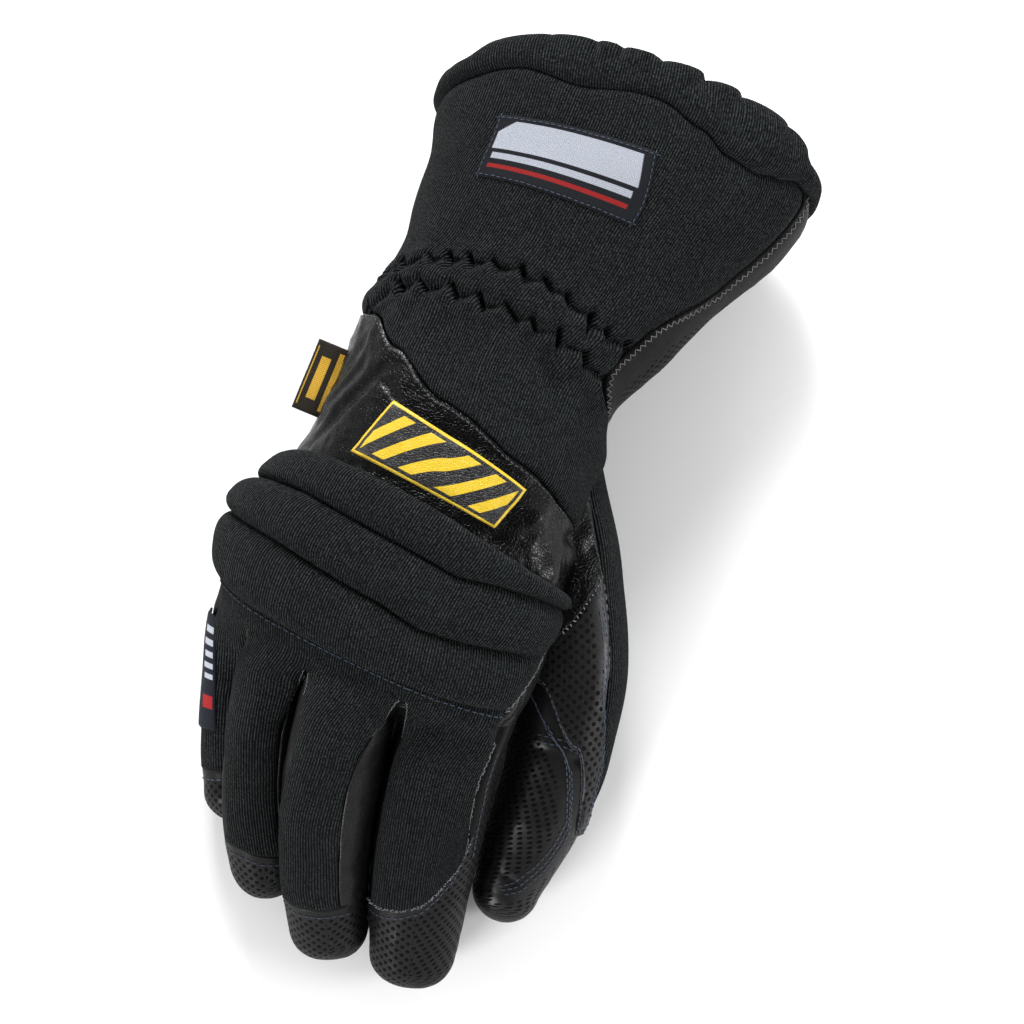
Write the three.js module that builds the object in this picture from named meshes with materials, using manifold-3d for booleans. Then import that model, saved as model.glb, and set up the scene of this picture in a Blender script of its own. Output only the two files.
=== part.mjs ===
// A fire-resistant work glove for the right hand, lying on its palm, in millimetres.
//
// +Z is up, the back of the hand faces up, the fingers point along -Y and the thumb lies on the
// +X side. The origin is where the heel of the palm rests. The glove is hollow. Its hand and its
// five digits are hulls swept through cross-sections, and the sewn panels are the walls of these
// hulls: the padded, gathered and glossy ones are laid on a hull with a relief of their own, and
// the others are cut from the wall that joins all six hulls.
import * as THREE from 'three';
import { mergeVertices } from 'three/addons/utils/BufferGeometryUtils.js';
import Module from 'manifold-3d';

const wasm = await Module();
wasm.setup();

// Driving dimensions
const WALL = 2.0; // cloth or leather with its liner
const GAP = 0.3; // between two pieces
const HAND_SQUARENESS = 2.4; // exponent of the hand's cross-sections, where 2 is an ellipse
const DIGIT_SQUARENESS = 2.2;
const WEB_REACH = 7; // how far the hand's closed end bulges between the fingers
const RIB_HEIGHT = 4.2; // padding of the knuckle ribs
const PLEATS = 12; // dents across the back of the wrist, in each row of elastic
const PLEAT_DEPTH = 1.8;
const WRIST_PUFF = 1.4; // the cloth between the two rows of elastic
const HEM_ROLL = 2.6; // how far the cuff's hem stands proud of the cuff
const SCALLOPS = 20; // ripples round the hem's gathered edge
const SCALLOP_DEPTH = 1.3;
const SADDLE = 1.0; // the second layer of leather round the base of the thumb
const LABEL = 0.8; // thickness of a woven label
const TAG = { reach: 9, width: 24, thickness: 1.6 }; // the woven loop folded flat at the wrist

// Cross-sections of the cuff and hand, from the cuff's mouth to the finger roots: the middle of
// the section in plan, the turn and roll of its wide axis in degrees, its half width, the heights
// of its underside and top, and how far its top leans towards the cuff.
const HAND = [
  { x: 26.0, y: 115.0, turn: -2, roll: 0, half: 62.5, low: 1, high: 51, lean: 27 },
  { x: 26.5, y: 107.0, turn: -2, roll: 0, half: 63.0, low: 0, high: 54, lean: 19 },
  { x: 24.5, y: 93.0, turn: -3, roll: 0, half: 59.0, low: 0, high: 55, lean: 17 },
  { x: 17.0, y: 76.0, turn: -6, roll: 0, half: 52.5, low: 1, high: 55, lean: 14 },
  { x: 11.0, y: 58.0, turn: -10, roll: 0, half: 47.5, low: 5, high: 55, lean: 12 },
  { x: 2.5, y: 41.0, turn: -13, roll: 1, half: 44.0, low: 4, high: 56, lean: 11 },
  { x: -0.5, y: 24.0, turn: -13, roll: 3, half: 45.0, low: -2, high: 59, lean: 9 },
  { x: -1.0, y: 2.0, turn: -13, roll: 5, half: 46.5, low: -5, high: 64, lean: 6 },
  { x: -3.5, y: -20.0, turn: -13, roll: 8, half: 50.0, low: -3, high: 66, lean: 3 },
  { x: -11.0, y: -41.0, turn: -12, roll: 10, half: 56.5, low: 9, high: 64, lean: -2 },
  { x: -11.5, y: -57.0, turn: -10, roll: 12, half: 55.0, low: 14, high: 61, lean: -7 },
  { x: -11.0, y: -67.0, turn: -9, roll: 13, half: 52.0, low: 20, high: 57, lean: -9 },
];

// Each digit's middle line from its root to its tip, with its half width and half height.
const DIGITS = {
  index: [
    { x: 24.0, y: -44.0, z: 43.0, wide: 16.0, tall: 14.0 },
    { x: 23.0, y: -68.0, z: 43.5, wide: 17.0, tall: 15.0 },
    { x: 21.0, y: -94.0, z: 40.0, wide: 17.2, tall: 15.5 },
    { x: 22.0, y: -118.0, z: 32.0, wide: 17.2, tall: 15.0 },
    { x: 24.0, y: -140.0, z: 21.5, wide: 16.2, tall: 14.5 },
    { x: 26.5, y: -157.0, z: 13.0, wide: 14.4, tall: 13.6 },
  ],
  middle: [
    { x: -12.0, y: -46.0, z: 44.0, wide: 15.0, tall: 14.0 },
    { x: -14.0, y: -70.0, z: 45.0, wide: 15.4, tall: 15.0 },
    { x: -14.2, y: -94.0, z: 43.0, wide: 15.4, tall: 15.5 },
    { x: -12.5, y: -116.0, z: 35.0, wide: 15.2, tall: 15.0 },
    { x: -8.0, y: -139.0, z: 24.0, wide: 14.4, tall: 14.5 },
    { x: -2.5, y: -155.5, z: 13.0, wide: 13.4, tall: 13.5 },
  ],
  ring: [
    { x: -41.0, y: -46.0, z: 35.0, wide: 11.8, tall: 13.5 },
    { x: -41.5, y: -68.0, z: 35.0, wide: 11.8, tall: 14.5 },
    { x: -40.0, y: -90.0, z: 32.0, wide: 11.6, tall: 14.5 },
    { x: -37.5, y: -110.0, z: 27.0, wide: 11.8, tall: 14.0 },
    { x: -33.5, y: -127.0, z: 20.0, wide: 12.2, tall: 13.5 },
    { x: -27.5, y: -142.0, z: 12.4, wide: 12.2, tall: 13.0 },
  ],
  little: [
    { x: -54.0, y: -44.0, z: 22.0, wide: 10.0, tall: 12.0 },
    { x: -55.5, y: -66.0, z: 17.5, wide: 10.0, tall: 11.5 },
    { x: -53.0, y: -86.0, z: 13.5, wide: 9.6, tall: 11.5 },
    { x: -49.5, y: -105.0, z: 11.0, wide: 9.6, tall: 11.2 },
    { x: -44.5, y: -123.0, z: 10.4, wide: 9.4, tall: 11.0 },
  ],
  thumb: [
    { x: 19.0, y: 24.0, z: 27.0, wide: 17.0, tall: 15.0 },
    { x: 31.0, y: -2.0, z: 25.0, wide: 19.0, tall: 16.5 },
    { x: 43.0, y: -28.0, z: 23.5, wide: 19.5, tall: 17.5 },
    { x: 52.0, y: -54.0, z: 22.0, wide: 19.0, tall: 17.5 },
    { x: 55.5, y: -80.0, z: 19.5, wide: 17.0, tall: 17.0 },
    { x: 55.0, y: -102.0, z: 16.0, wide: 15.5, tall: 15.5 },
    { x: 52.5, y: -120.0, z: 13.0, wide: 13.5, tall: 13.5 },
    { x: 51.5, y: -130.5, z: 11.4, wide: 11.5, tall: 12.0 },
  ],
};

// Seams round the hand: the place along HAND's rows where each seam runs, at an angle where 0 is
// the thumb's side, 90 the top, 180 the little finger's side and 270 the underside.
const HEM_FOLD = [
  { angle: -90, at: 1.0 }, { angle: 0, at: 0.85 }, { angle: 25, at: 1.25 }, { angle: 50, at: 1.5 },
  { angle: 66, at: 1.5 }, { angle: 82, at: 1.1 }, { angle: 122, at: 0.88 }, { angle: 180, at: 0.85 },
  { angle: 270, at: 1.0 }, { angle: 360, at: 0.85 }, { angle: 385, at: 1.25 },
];
const PATCH_TOP = [
  { angle: -25, at: 7.7 }, { angle: 0, at: 7.4 }, { angle: 22, at: 7.1 }, { angle: 65, at: 6.9 },
  { angle: 98, at: 6.67 }, { angle: 125, at: 6.3 }, { angle: 153, at: 5.85 }, { angle: 200, at: 5.6 },
];
const PAD_TOP = 8.02;
const PAD_GROOVES = [8.49, 9.16]; // between the three ribs
const PAD_BOTTOM = 10.2;
const SLOTS_TOP = 10.6; // where the finger backs part below the pad
const WEBS = [71, 100, 129]; // degrees of the slots between them
const UPPER_ELASTIC = 4.5;
const LOWER_ELASTIC = 5.1;
const WRIST_SEAM = 5.4; // across the underside, from the cuff's leather to the palm's
const LITTLE_SIDE = 196; // where the back's cloth meets the palm's leather
const BACK_ROWS = [0, 0.25, 0.5, 0.57, 0.63, 0.69, 0.76, 1]; // closer at the wrist
const PAD_ROWS = [0, 0.06, 0.15, 0.215, 0.28, 0.44, 0.52, 0.6, 0.9, 1]; // three to a rib

// The knit back of each finger: its right and left edges in degrees and the end of its cloth.
const BACKS = {
  index: { right: 40, left: 181, to: (angle) => 3.2 + 0.9 * smooth(40, 110, angle) },
  middle: { right: 66, left: 178, to: 4.2 },
  ring: { right: 36, left: (at) => 176 - 24 * smooth(1, 3.6, at), to: 4.35 },
  little: { right: 60, left: 172, to: 3.5 },
};

// The smooth leather between two fingers: the edges in degrees of its strip on the outer of them.
const FOURCHETTES = {
  middle: { right: -50, left: 66 },
  ring: { right: -50, left: 36 },
  little: { right: -50, left: 60 },
};

const { clamp, degToRad, lerp, smoothstep } = THREE.MathUtils;
const smooth = (from, to, value) => smoothstep(value, from, to);
const valueOf = (edge, place) => (typeof edge === 'function' ? edge(place) : edge);

// A row between two rows of a table, on a curve through all of them.
function between(table, at) {
  const last = table.length - 1;
  const i = clamp(Math.floor(at), 0, last - 1);
  const f = at - i;
  const row = (k) => table[clamp(k, 0, last)];
  const made = {};
  for (const key of Object.keys(table[0])) {
    const [a, b, c, d] = [row(i - 1)[key], row(i)[key], row(i + 1)[key], row(i + 2)[key]];
    made[key] = b + 0.5 * f * (c - a + f * (2 * a - 5 * b + 4 * c - d + f * (3 * (b - c) + d - a)));
  }
  return made;
}

// A seam's place at an angle, from its table.
function seamAt(seam, angle) {
  const i = clamp(seam.findIndex((row) => row.angle > angle), 1, seam.length - 1);
  const [a, b] = [seam[i - 1], seam[i]];
  return lerp(a.at, b.at, smooth(a.angle, b.angle, angle));
}

const squared = (value, squareness) => Math.sign(value) * Math.abs(value) ** (2 / squareness);

// A point on the cuff and hand, out millimetres outside the form and never below the floor.
function handPoint(at, angle, out = 0, floor = 0) {
  const last = HAND.length - 1;
  const s = between(HAND, Math.min(at, last));
  const closing = Math.max(at - last, 0) * Math.PI / 2; // past the last row the end closes
  const [turn, roll] = [degToRad(s.turn), degToRad(s.roll)];
  const side = squared(Math.cos(degToRad(angle)), HAND_SQUARENESS) * Math.cos(closing) ** 0.7;
  const rise = squared(Math.sin(degToRad(angle)), HAND_SQUARENESS) * Math.cos(closing);
  const lean = s.lean * (rise > 0 ? rise : 0.4 * rise) - Math.sin(closing) * (WEB_REACH + out);
  const across = (s.half + out) * side;
  const tall = ((s.high - s.low) / 2 + out) * rise;
  const plan = Math.cos(roll) * across - Math.sin(roll) * tall;
  const height = (s.high + s.low) / 2 + Math.sin(roll) * across + Math.cos(roll) * tall;
  return new THREE.Vector3(
    s.x + Math.cos(turn) * plan - Math.sin(turn) * lean,
    s.y + Math.sin(turn) * plan + Math.cos(turn) * lean,
    Math.max(height, floor),
  );
}

// The same on a digit, whose sections stand square to its middle line and close at its tip.
function digitPoint(rows, at, angle, out = 0, floor = 0) {
  const last = rows.length - 1;
  const on = Math.min(at, last);
  const s = between(rows, on);
  const [behind, ahead] = [between(rows, Math.max(on - 0.05, 0)), between(rows, Math.min(on + 0.05, last))];
  const along = new THREE.Vector3(ahead.x - behind.x, ahead.y - behind.y, ahead.z - behind.z).normalize();
  const side = new THREE.Vector3(0, 0, 1).cross(along).normalize();
  const up = along.clone().cross(side);
  const closing = Math.max(at - last, 0) * Math.PI / 2;
  const shrink = Math.cos(closing) ** 0.9;
  const [across, tall] = [Math.cos(degToRad(angle)), Math.sin(degToRad(angle))];
  const point = new THREE.Vector3(s.x, s.y, s.z)
    .addScaledVector(along, Math.sin(closing) * (Math.min(s.wide, s.tall) + out))
    .addScaledVector(side, (s.wide + out) * shrink * squared(across, DIGIT_SQUARENESS))
    .addScaledVector(up, (s.tall + out) * shrink * squared(tall, DIGIT_SQUARENESS));
  point.z = Math.max(point.z, floor);
  return point;
}

const forms = { hand: handPoint };
for (const [name, rows] of Object.entries(DIGITS)) forms[name] = (...place) => digitPoint(rows, ...place);
const lastRow = (name) => (name === 'hand' ? HAND : DIGITS[name]).length - 1;
const digits = Object.keys(DIGITS);
const fingers = Object.keys(BACKS);

// A closed solid from points and triangles. Where these face inwards, they are all turned round.
function solid(points, triangles) {
  const merged = mergeVertices(new THREE.BufferGeometry().setFromPoints(points).setIndex(triangles), 1e-4);
  const make = (triVerts) => new wasm.Manifold(new wasm.Mesh({
    numProp: 3, vertProperties: merged.attributes.position.array, triVerts: new Uint32Array(triVerts),
  }));
  const kept = [];
  for (let i = 0; i < triangles.length; i += 3) {
    const [a, b, c] = [0, 1, 2].map((corner) => merged.index.getX(i + corner));
    if (a !== b && b !== c && c !== a) kept.push([a, b, c]);
  }
  const made = make(kept.flat());
  return made.volume() > 0 ? made : make(kept.map(([a, b, c]) => [a, c, b]).flat());
}

// A tube of rings with the same number of points, closed at both ends.
function tube(rings) {
  const sides = rings[0].length;
  const points = rings.flat();
  const triangles = [];
  for (let i = 0; i < rings.length - 1; i++) {
    for (let j = 0; j < sides; j++) {
      const [a, b] = [i * sides + j, i * sides + (j + 1) % sides];
      triangles.push(a, b, b + sides, a, b + sides, a + sides);
    }
  }
  for (const [first, turned] of [[0, true], [(rings.length - 1) * sides, false]]) {
    const middle = new THREE.Vector3();
    for (let j = 0; j < sides; j++) middle.addScaledVector(points[first + j], 1 / sides);
    points.push(middle);
    for (let j = 0; j < sides; j++) {
      const edge = [first + j, first + (j + 1) % sides];
      triangles.push(...(turned ? edge.reverse() : edge), points.length - 1);
    }
  }
  return solid(points, triangles);
}

// The whole hull of a form, from a row to its closed end, out millimetres outside it.
function hull(name, { first = 0, steps, sides, out = 0, floor = 0 }) {
  const last = lastRow(name);
  const places = [];
  for (let i = 0; i <= steps; i++) places.push(lerp(first, last, i / steps));
  places.push(last + 0.35, last + 0.7, last + 0.97);
  return tube(places.map((at) => {
    const ring = [];
    for (let j = 0; j < sides; j++) ring.push(forms[name](at, 360 * j / sides, out, floor));
    return ring;
  }));
}

// A list of shares as it is, or a count as that many even steps.
const evenly = (steps) => (Array.isArray(steps) ? steps : [...Array(steps + 1)].map((_, i) => i / steps));

// A panel laid on a form. It runs from one place to another and from its right edge to its left,
// each of them a number or a function: the places of the angle and the edges of the place. Its
// layers are distances from the form, raise adds a relief to the last, and grow widens the panel.
function panel(name, region) {
  const { layers = [-WALL, 0], raise = () => 0, grow = 0, floor = 0, ring = false } = region;
  const [shares, acrosses] = [evenly(region.rows), evenly(region.columns)];
  const columns = acrosses.length - 1;
  const width = ring ? columns : columns + 1;
  const form = forms[name];
  const grid = layers.map(() => []);
  for (const share of shares) {
    const guess = lerp(valueOf(region.from, 90), valueOf(region.to, 90), share);
    const rowEnd = (share === 1) - (share === 0);
    for (let j = 0; j < width; j++) {
      const turn = lerp(valueOf(region.right, guess), valueOf(region.left, guess), acrosses[j]);
      const place = lerp(valueOf(region.from, turn), valueOf(region.to, turn), share);
      const perRow = form(place, turn).distanceTo(form(place + 0.02, turn)) / 0.02;
      const perDegree = form(place, turn).distanceTo(form(place, turn + 1));
      const columnEnd = ring ? 0 : (j === columns) - (j === 0);
      const side = j === 0 ? region.right : region.left;
      const sideStep = valueOf(side, guess + 0.05) - valueOf(side, guess - 0.05);
      const sideSlope = sideStep * perDegree / (0.1 * perRow);
      const angle = turn + grow * columnEnd * Math.hypot(1, sideSlope) / perDegree;
      const end = rowEnd < 0 ? region.from : region.to;
      const steps = [1, -1].map((step) => Math.abs(valueOf(end, angle + step) - valueOf(end, angle)));
      const endSlope = Math.max(...steps) * perRow / perDegree;
      const at = lerp(valueOf(region.from, angle), valueOf(region.to, angle), share)
        + grow * rowEnd * Math.hypot(1, endSlope) / perRow;
      layers.forEach((out, k) => {
        const relief = k === layers.length - 1 ? raise(at, angle, share, acrosses[j]) : 0;
        grid[k].push(form(at, angle, out + relief, floor + (out < 0 ? WALL : 0)));
      });
    }
  }
  const count = shares.length * width;
  const top = (layers.length - 1) * count;
  const triangles = [];
  const quad = (p, q, r, s) => triangles.push(p, q, r, p, r, s);
  for (let j = 0; j < columns; j++) {
    const next = (j + 1) % width;
    for (let i = 0; i < shares.length - 1; i++) {
      const [p, q] = [i * width + j, i * width + next];
      quad(top + p, top + q, top + q + width, top + p + width);
      quad(p, p + width, q + width, q);
    }
    for (let k = count; k <= top; k += count) {
      quad(k + j, k + j - count, k + next - count, k + next);
      const far = k + count - width;
      quad(far + j, far + next, far + next - count, far + j - count);
    }
  }
  for (let i = 0; !ring && i < shares.length - 1; i++) {
    for (let k = count; k <= top; k += count) {
      const [p, q] = [k + i * width, k + (i + 1) * width];
      quad(p, q, q - count, p - count);
      quad(p + columns, p + columns - count, q + columns - count, q + columns);
    }
  }
  return solid(grid.flat(), triangles);
}

// A region's own panel, the block that cuts it from a wall, and the room that its neighbours leave
// to it. On the hand these also reach the digits' hulls where they stand out of its own.
const EASE = 2.5; // past both faces of a wall that is cut
const DEEP = 7;
const through = (name, region, grow, ease, deep) => {
  const [inner, outer] = region.layers ?? [-WALL, 0];
  const near = [inner - ease, outer + ease];
  const layers = deep > ease ? [inner - deep, ...near, outer + deep] : near;
  return panel(name, { ...region, raise: () => 0, layers, grow, floor: -2 * DEEP });
};
const deepOn = (name) => (name === 'hand' ? DEEP : 0);
const laid = (name, region) => panel(name, { ...region, grow: -GAP / 2 });
const roomOfLaid = (name, region, grow = GAP / 2) => through(name, region, grow, 0, DEEP);
const block = (name, region) => through(name, region, -GAP / 3, EASE, deepOn(name));
const room = (name, region) => through(name, region, GAP, EASE + 1, deepOn(name));
const union = (solids) => solids.reduce((all, one) => all.add(one));

// Reliefs, for a place, an angle and the shares along and across a panel
const stuffed = (share) => Math.sin(Math.PI * clamp(share, 0, 1)) ** 0.6;
const everyOther = (across, count) => 0.5 + 0.5 * Math.cos(2 * Math.PI * count * across);
const ribs = (at) => {
  const edges = [PAD_TOP, ...PAD_GROOVES, PAD_BOTTOM];
  const rib = clamp(edges.filter((edge) => edge <= at).length - 1, 0, edges.length - 2);
  return 0.6 + RIB_HEIGHT * stuffed((at - edges[rib]) / (edges[rib + 1] - edges[rib]));
};
const gathers = (at, angle, share, across) => {
  const near = (place, spread) => Math.exp(-(((at - place) / spread) ** 2));
  const puff = WRIST_PUFF * near((UPPER_ELASTIC + LOWER_ELASTIC) / 2, 0.28);
  const upper = near(UPPER_ELASTIC, 0.2) * everyOther(across, PLEATS);
  const lower = near(LOWER_ELASTIC, 0.2) * (1 - everyOther(across, PLEATS));
  return puff - PLEAT_DEPTH * (upper + lower);
};

// The regions of the hand's panels
const hemFold = (angle) => seamAt(HEM_FOLD, angle);
const patchTop = (angle) => seamAt(PATCH_TOP, angle);
const cuffSeam = (at) => 18 + 20 * smooth(2.9, 4.2, at) - 62 * smooth(4.9, 6.2, at);
const scallop = (angle) => -0.08 * SCALLOP_DEPTH * everyOther(angle / 360, SCALLOPS);
const hem = {
  from: scallop, to: hemFold, right: 0, left: 360, rows: 3, columns: 2 * SCALLOPS, ring: true,
  raise: (at, angle, share, across) => {
    return HEM_ROLL * stuffed(share) * (0.75 + 0.25 * everyOther(across, SCALLOPS));
  },
};
const pad = {
  from: PAD_TOP, to: PAD_BOTTOM, right: -8, left: LITTLE_SIDE, rows: PAD_ROWS, columns: 14,
  raise: ribs,
};
const patch = {
  from: patchTop, to: PAD_TOP, right: -4, left: LITTLE_SIDE, rows: 4, columns: 14,
  raise: (at, angle, share) => -0.9 * stuffed(share),
};
const cloth = {
  from: hemFold, to: patchTop, right: cuffSeam, left: LITTLE_SIDE, rows: BACK_ROWS, columns: 2 * PLEATS,
  raise: gathers,
};
const cuffLeather = {
  from: hemFold, to: WRIST_SEAM, right: LITTLE_SIDE, left: (at) => 366 + cuffSeam(at), rows: 5, columns: 9,
};
const fromSlot = (angle) => Math.min(1, ...WEBS.map((web) => Math.abs(angle - web) / 9));
const yokeEnd = (angle) => lerp(SLOTS_TOP, 11.4 + 0.2 * smooth(110, 150, angle), fromSlot(angle));
const yokeAngles = [4, 34, ...WEBS.flatMap((web) => [web - 9, web, web + 9]), 165, 180];
const yoke = {
  from: PAD_BOTTOM - 0.1, to: yokeEnd, right: yokeAngles[0], left: yokeAngles.at(-1), rows: 2,
  columns: yokeAngles.map((angle) => (angle - yokeAngles[0]) / (yokeAngles.at(-1) - yokeAngles[0])),
};

// The thumb's knit outer side and the leather saddle round its base
const knitEdge = (at) => 50 - 28 * smooth(3.3, 4.4, at) - 22 * smooth(4.4, 5, at);
const thumbKnit = { from: 1.0, to: 4.95, right: -62, left: knitEdge, rows: 6, columns: 5 };
const saddle = {
  from: 1.6, to: (angle) => 5.15 - 1.25 * smooth(20, 75, angle) - 0.75 * smooth(75, 120, angle),
  right: knitEdge, left: 150, rows: 6, columns: 8, layers: [-WALL, SADDLE],
};

// The hulls, the hollow inside them and the wall between
const hulls = (hand, digit, more = {}) => Object.fromEntries(Object.keys(forms).map((name) => [
  name, hull(name, { ...(name === 'hand' ? hand : digit), ...more }),
]));
const [handSteps, digitSteps] = [{ steps: 9, sides: 20 }, { steps: 5, sides: 10 }];
const outer = hulls({ first: 0.5, ...handSteps }, digitSteps);
const grown = { out: GAP, floor: -1 };
const clearOf = hulls({ first: 0.48, ...handSteps }, { first: -0.02, ...digitSteps }, grown);
const inside = { out: -WALL, floor: WALL };
const hollow = hulls({ first: 0.1, steps: 6, sides: 12 }, { steps: 4, sides: 8 }, inside);
fingers.forEach((finger, i) => { // a finger's hollow stops at the fingers that overlap its own
  for (const above of fingers.slice(0, i)) hollow[finger] = hollow[finger].subtract(outer[above]);
});
let wall = union(Object.values(outer)).subtract(union(Object.values(hollow)));

const pieces = {};
let taken = clearOf.thumb;

// A panel with its own relief, which stops short of the thumb's hull and of what was laid before.
function lay(name, region) {
  pieces[name] = laid('hand', region).subtract(taken);
  taken = taken.add(roomOfLaid('hand', region, 0));
  wall = wall.subtract(roomOfLaid('hand', region).subtract(outer.thumb));
}
lay('cuff_hem', hem);
lay('knuckle_pad', pad);
lay('back_patch', patch);
lay('back_cloth', cloth);
const besideSaddle = union([pad, patch].map((region) => roomOfLaid('hand', region)));
pieces.thumb_saddle = laid('thumb', saddle).subtract(clearOf.hand).subtract(besideSaddle);
wall = wall.subtract(roomOfLaid('thumb', saddle).subtract(outer.hand));

// A panel cut from the wall, in one or more regions. On a digit it keeps to that digit's hull.
function cutOut(name, regions) {
  const all = (cutter, hullsOf) => union(regions.map(([form, region]) => {
    const cut = cutter(form, region);
    return form === 'hand' ? cut : cut.intersect(hullsOf[form]);
  }));
  const cut = wall.intersect(all(block, outer));
  wall = wall.subtract(all(room, clearOf));
  pieces[name] = cut.subtract(wall);
}
const strip = { from: 0.75, rows: 3, columns: 3 };
cutOut('cuff_leather', [['hand', cuffLeather]]);
const tongues = fingers.map((finger) => [finger, { ...strip, ...BACKS[finger] }]);
cutOut('finger_backs', [['hand', yoke], ...tongues]);
for (const [i, [finger, edges]] of Object.entries(FOURCHETTES).entries()) {
  const web = { from: SLOTS_TOP - 0.2, to: 11.95, right: WEBS[i] - 10, left: WEBS[i] + 10 };
  cutOut(`fourchette_${finger}`, [
    ['hand', { ...web, rows: 2, columns: 4 }],
    [finger, { ...strip, ...edges, to: lastRow(finger) - 0.4 }],
  ]);
}
cutOut('thumb_back', [['thumb', thumbKnit]]);

// The palm's leather is the rest of the hand's wall, and each digit's the rest of its own.
pieces.palm = wall.intersect(outer.hand);
wall = wall.subtract(clearOf.hand);
for (const digit of digits) {
  pieces[`${digit}_front`] = wall.intersect(outer[digit]);
  wall = wall.subtract(clearOf[digit]);
}

// Labels
pieces.cuff_label = panel('hand', {
  from: 1.83, to: 3.02, right: (at) => 83 - 7 * smooth(1.8, 3, at), left: 130, rows: 2, columns: 6,
  layers: [GAP, GAP + LABEL],
});
pieces.side_label = panel('little', {
  from: 1, to: 2.85, right: (at) => 136 - 9 * at, left: (at) => 196 - 9 * at, rows: 3, columns: 5,
  layers: [GAP, GAP + LABEL],
}).subtract(clearOf.hand);

// The loop of woven tape in the seam at the wrist, on the little finger's side
const seam = [6.35, 7.45].map((at) => handPoint(at, 178));
const root = seam[0].clone().lerp(seam[1], 0.5);
const along = seam[1].clone().sub(seam[0]).normalize();
const outwards = new THREE.Vector3(0, 0, 1).cross(along).normalize().multiplyScalar(-1);
const corners = [[-1, -1], [1, -1], [1, 1], [-1, 1]];
const tagRing = (reach, full) => corners.map(([across, up]) => root.clone()
  .addScaledVector(along, across * TAG.width / 2)
  .addScaledVector(outwards, reach)
  .add(new THREE.Vector3(0, 0, up * full * TAG.thickness / 2)));
const tagRings = [[-4, 1], [TAG.reach - 0.8, 1], [TAG.reach, 0.3]];
pieces.pull_tag = tube(tagRings.map(([reach, full]) => tagRing(reach, full)))
  .subtract(panel('hand', { ...patch, layers: [-DEEP, GAP] }));

// The look of each kind of cloth, and of each piece. Those with none named are dotted leather.
const KNIT = { color: '#1c1f20', roughness: 0.95 };
const SMOOTH_LEATHER = { color: '#141516', roughness: 0.6 };
const DOTTED_LEATHER = { color: '#191715', roughness: 0.72 };
const LOOKS = {
  cuff_hem: KNIT,
  knuckle_pad: KNIT,
  back_patch: { color: '#0f0f10', roughness: 0.4 },
  back_cloth: KNIT,
  cuff_leather: SMOOTH_LEATHER,
  finger_backs: KNIT,
  fourchette_middle: SMOOTH_LEATHER,
  fourchette_ring: SMOOTH_LEATHER,
  fourchette_little: SMOOTH_LEATHER,
  thumb_back: KNIT,
  cuff_label: { color: '#10141f', roughness: 0.8 },
  side_label: { color: '#10141f', roughness: 0.8 },
  pull_tag: { color: '#1c170c', roughness: 0.8 },
};

const glove = new THREE.Group();
for (const [name, made] of Object.entries(pieces)) {
  const largest = made.decompose().sort((a, b) => b.volume() - a.volume())[0].getMesh();
  const geometry = new THREE.BufferGeometry()
    .setAttribute('position', new THREE.BufferAttribute(largest.vertProperties, 3))
    .setIndex(new THREE.BufferAttribute(largest.triVerts, 1));
  const look = LOOKS[name] ?? DOTTED_LEATHER;
  const shown = new THREE.Mesh(geometry, new THREE.MeshStandardMaterial({ ...look, metalness: 0 }));
  shown.name = name;
  glove.add(shown);
}

export default glove;
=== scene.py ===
import math

import bpy
import numpy as np
from bpy.props import FloatProperty, FloatVectorProperty, PointerProperty
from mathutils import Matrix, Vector
from mathutils.bvhtree import BVHTree
from mathutils.kdtree import KDTree


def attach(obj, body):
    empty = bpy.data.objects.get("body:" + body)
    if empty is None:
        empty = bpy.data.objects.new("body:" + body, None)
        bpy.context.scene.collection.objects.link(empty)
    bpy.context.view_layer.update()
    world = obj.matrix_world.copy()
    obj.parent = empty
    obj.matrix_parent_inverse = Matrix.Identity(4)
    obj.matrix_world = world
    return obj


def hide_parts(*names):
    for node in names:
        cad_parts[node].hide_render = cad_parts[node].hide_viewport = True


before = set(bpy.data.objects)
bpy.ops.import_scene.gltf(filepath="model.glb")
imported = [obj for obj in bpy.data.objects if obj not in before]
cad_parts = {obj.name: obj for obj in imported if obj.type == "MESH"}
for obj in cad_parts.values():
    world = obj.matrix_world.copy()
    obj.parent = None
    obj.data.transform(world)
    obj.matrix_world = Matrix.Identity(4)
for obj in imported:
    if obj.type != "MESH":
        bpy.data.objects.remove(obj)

bl_info = {
    "name": "Fire-resistant glove",
    "version": (1, 0, 0),
    "blender": (4, 5, 0),
    "location": "View3D > Sidebar > Glove",
    "description": "Sews a knit and leather work glove, panel by panel, over its packed solids",
    "category": "Add Mesh",
}

MM = 0.001  # lengths below are in millimetres, and Blender's are in metres

# Cross-sections of the cuff and hand, from the cuff's mouth to the finger roots: the middle in
# plan, turn and roll in degrees, half width, height of the underside and top, lean of the top
HAND = np.array([
    (26.0, 115.0, -2, 0, 62.5, 1, 51, 27), (26.5, 107.0, -2, 0, 63.0, 0, 54, 19),
    (24.5, 93.0, -3, 0, 59.0, 0, 55, 17), (17.0, 76.0, -6, 0, 52.5, 1, 55, 14),
    (11.0, 58.0, -10, 0, 47.5, 5, 55, 12), (2.5, 41.0, -13, 1, 44.0, 4, 56, 11),
    (-0.5, 24.0, -13, 3, 45.0, -2, 59, 9), (-1.0, 2.0, -13, 5, 46.5, -5, 64, 6),
    (-3.5, -20.0, -13, 8, 50.0, -3, 66, 3), (-11.0, -41.0, -12, 10, 56.5, 9, 64, -2),
    (-11.5, -57.0, -10, 12, 55.0, 14, 61, -7), (-11.0, -67.0, -9, 13, 52.0, 20, 57, -9),
])

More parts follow.
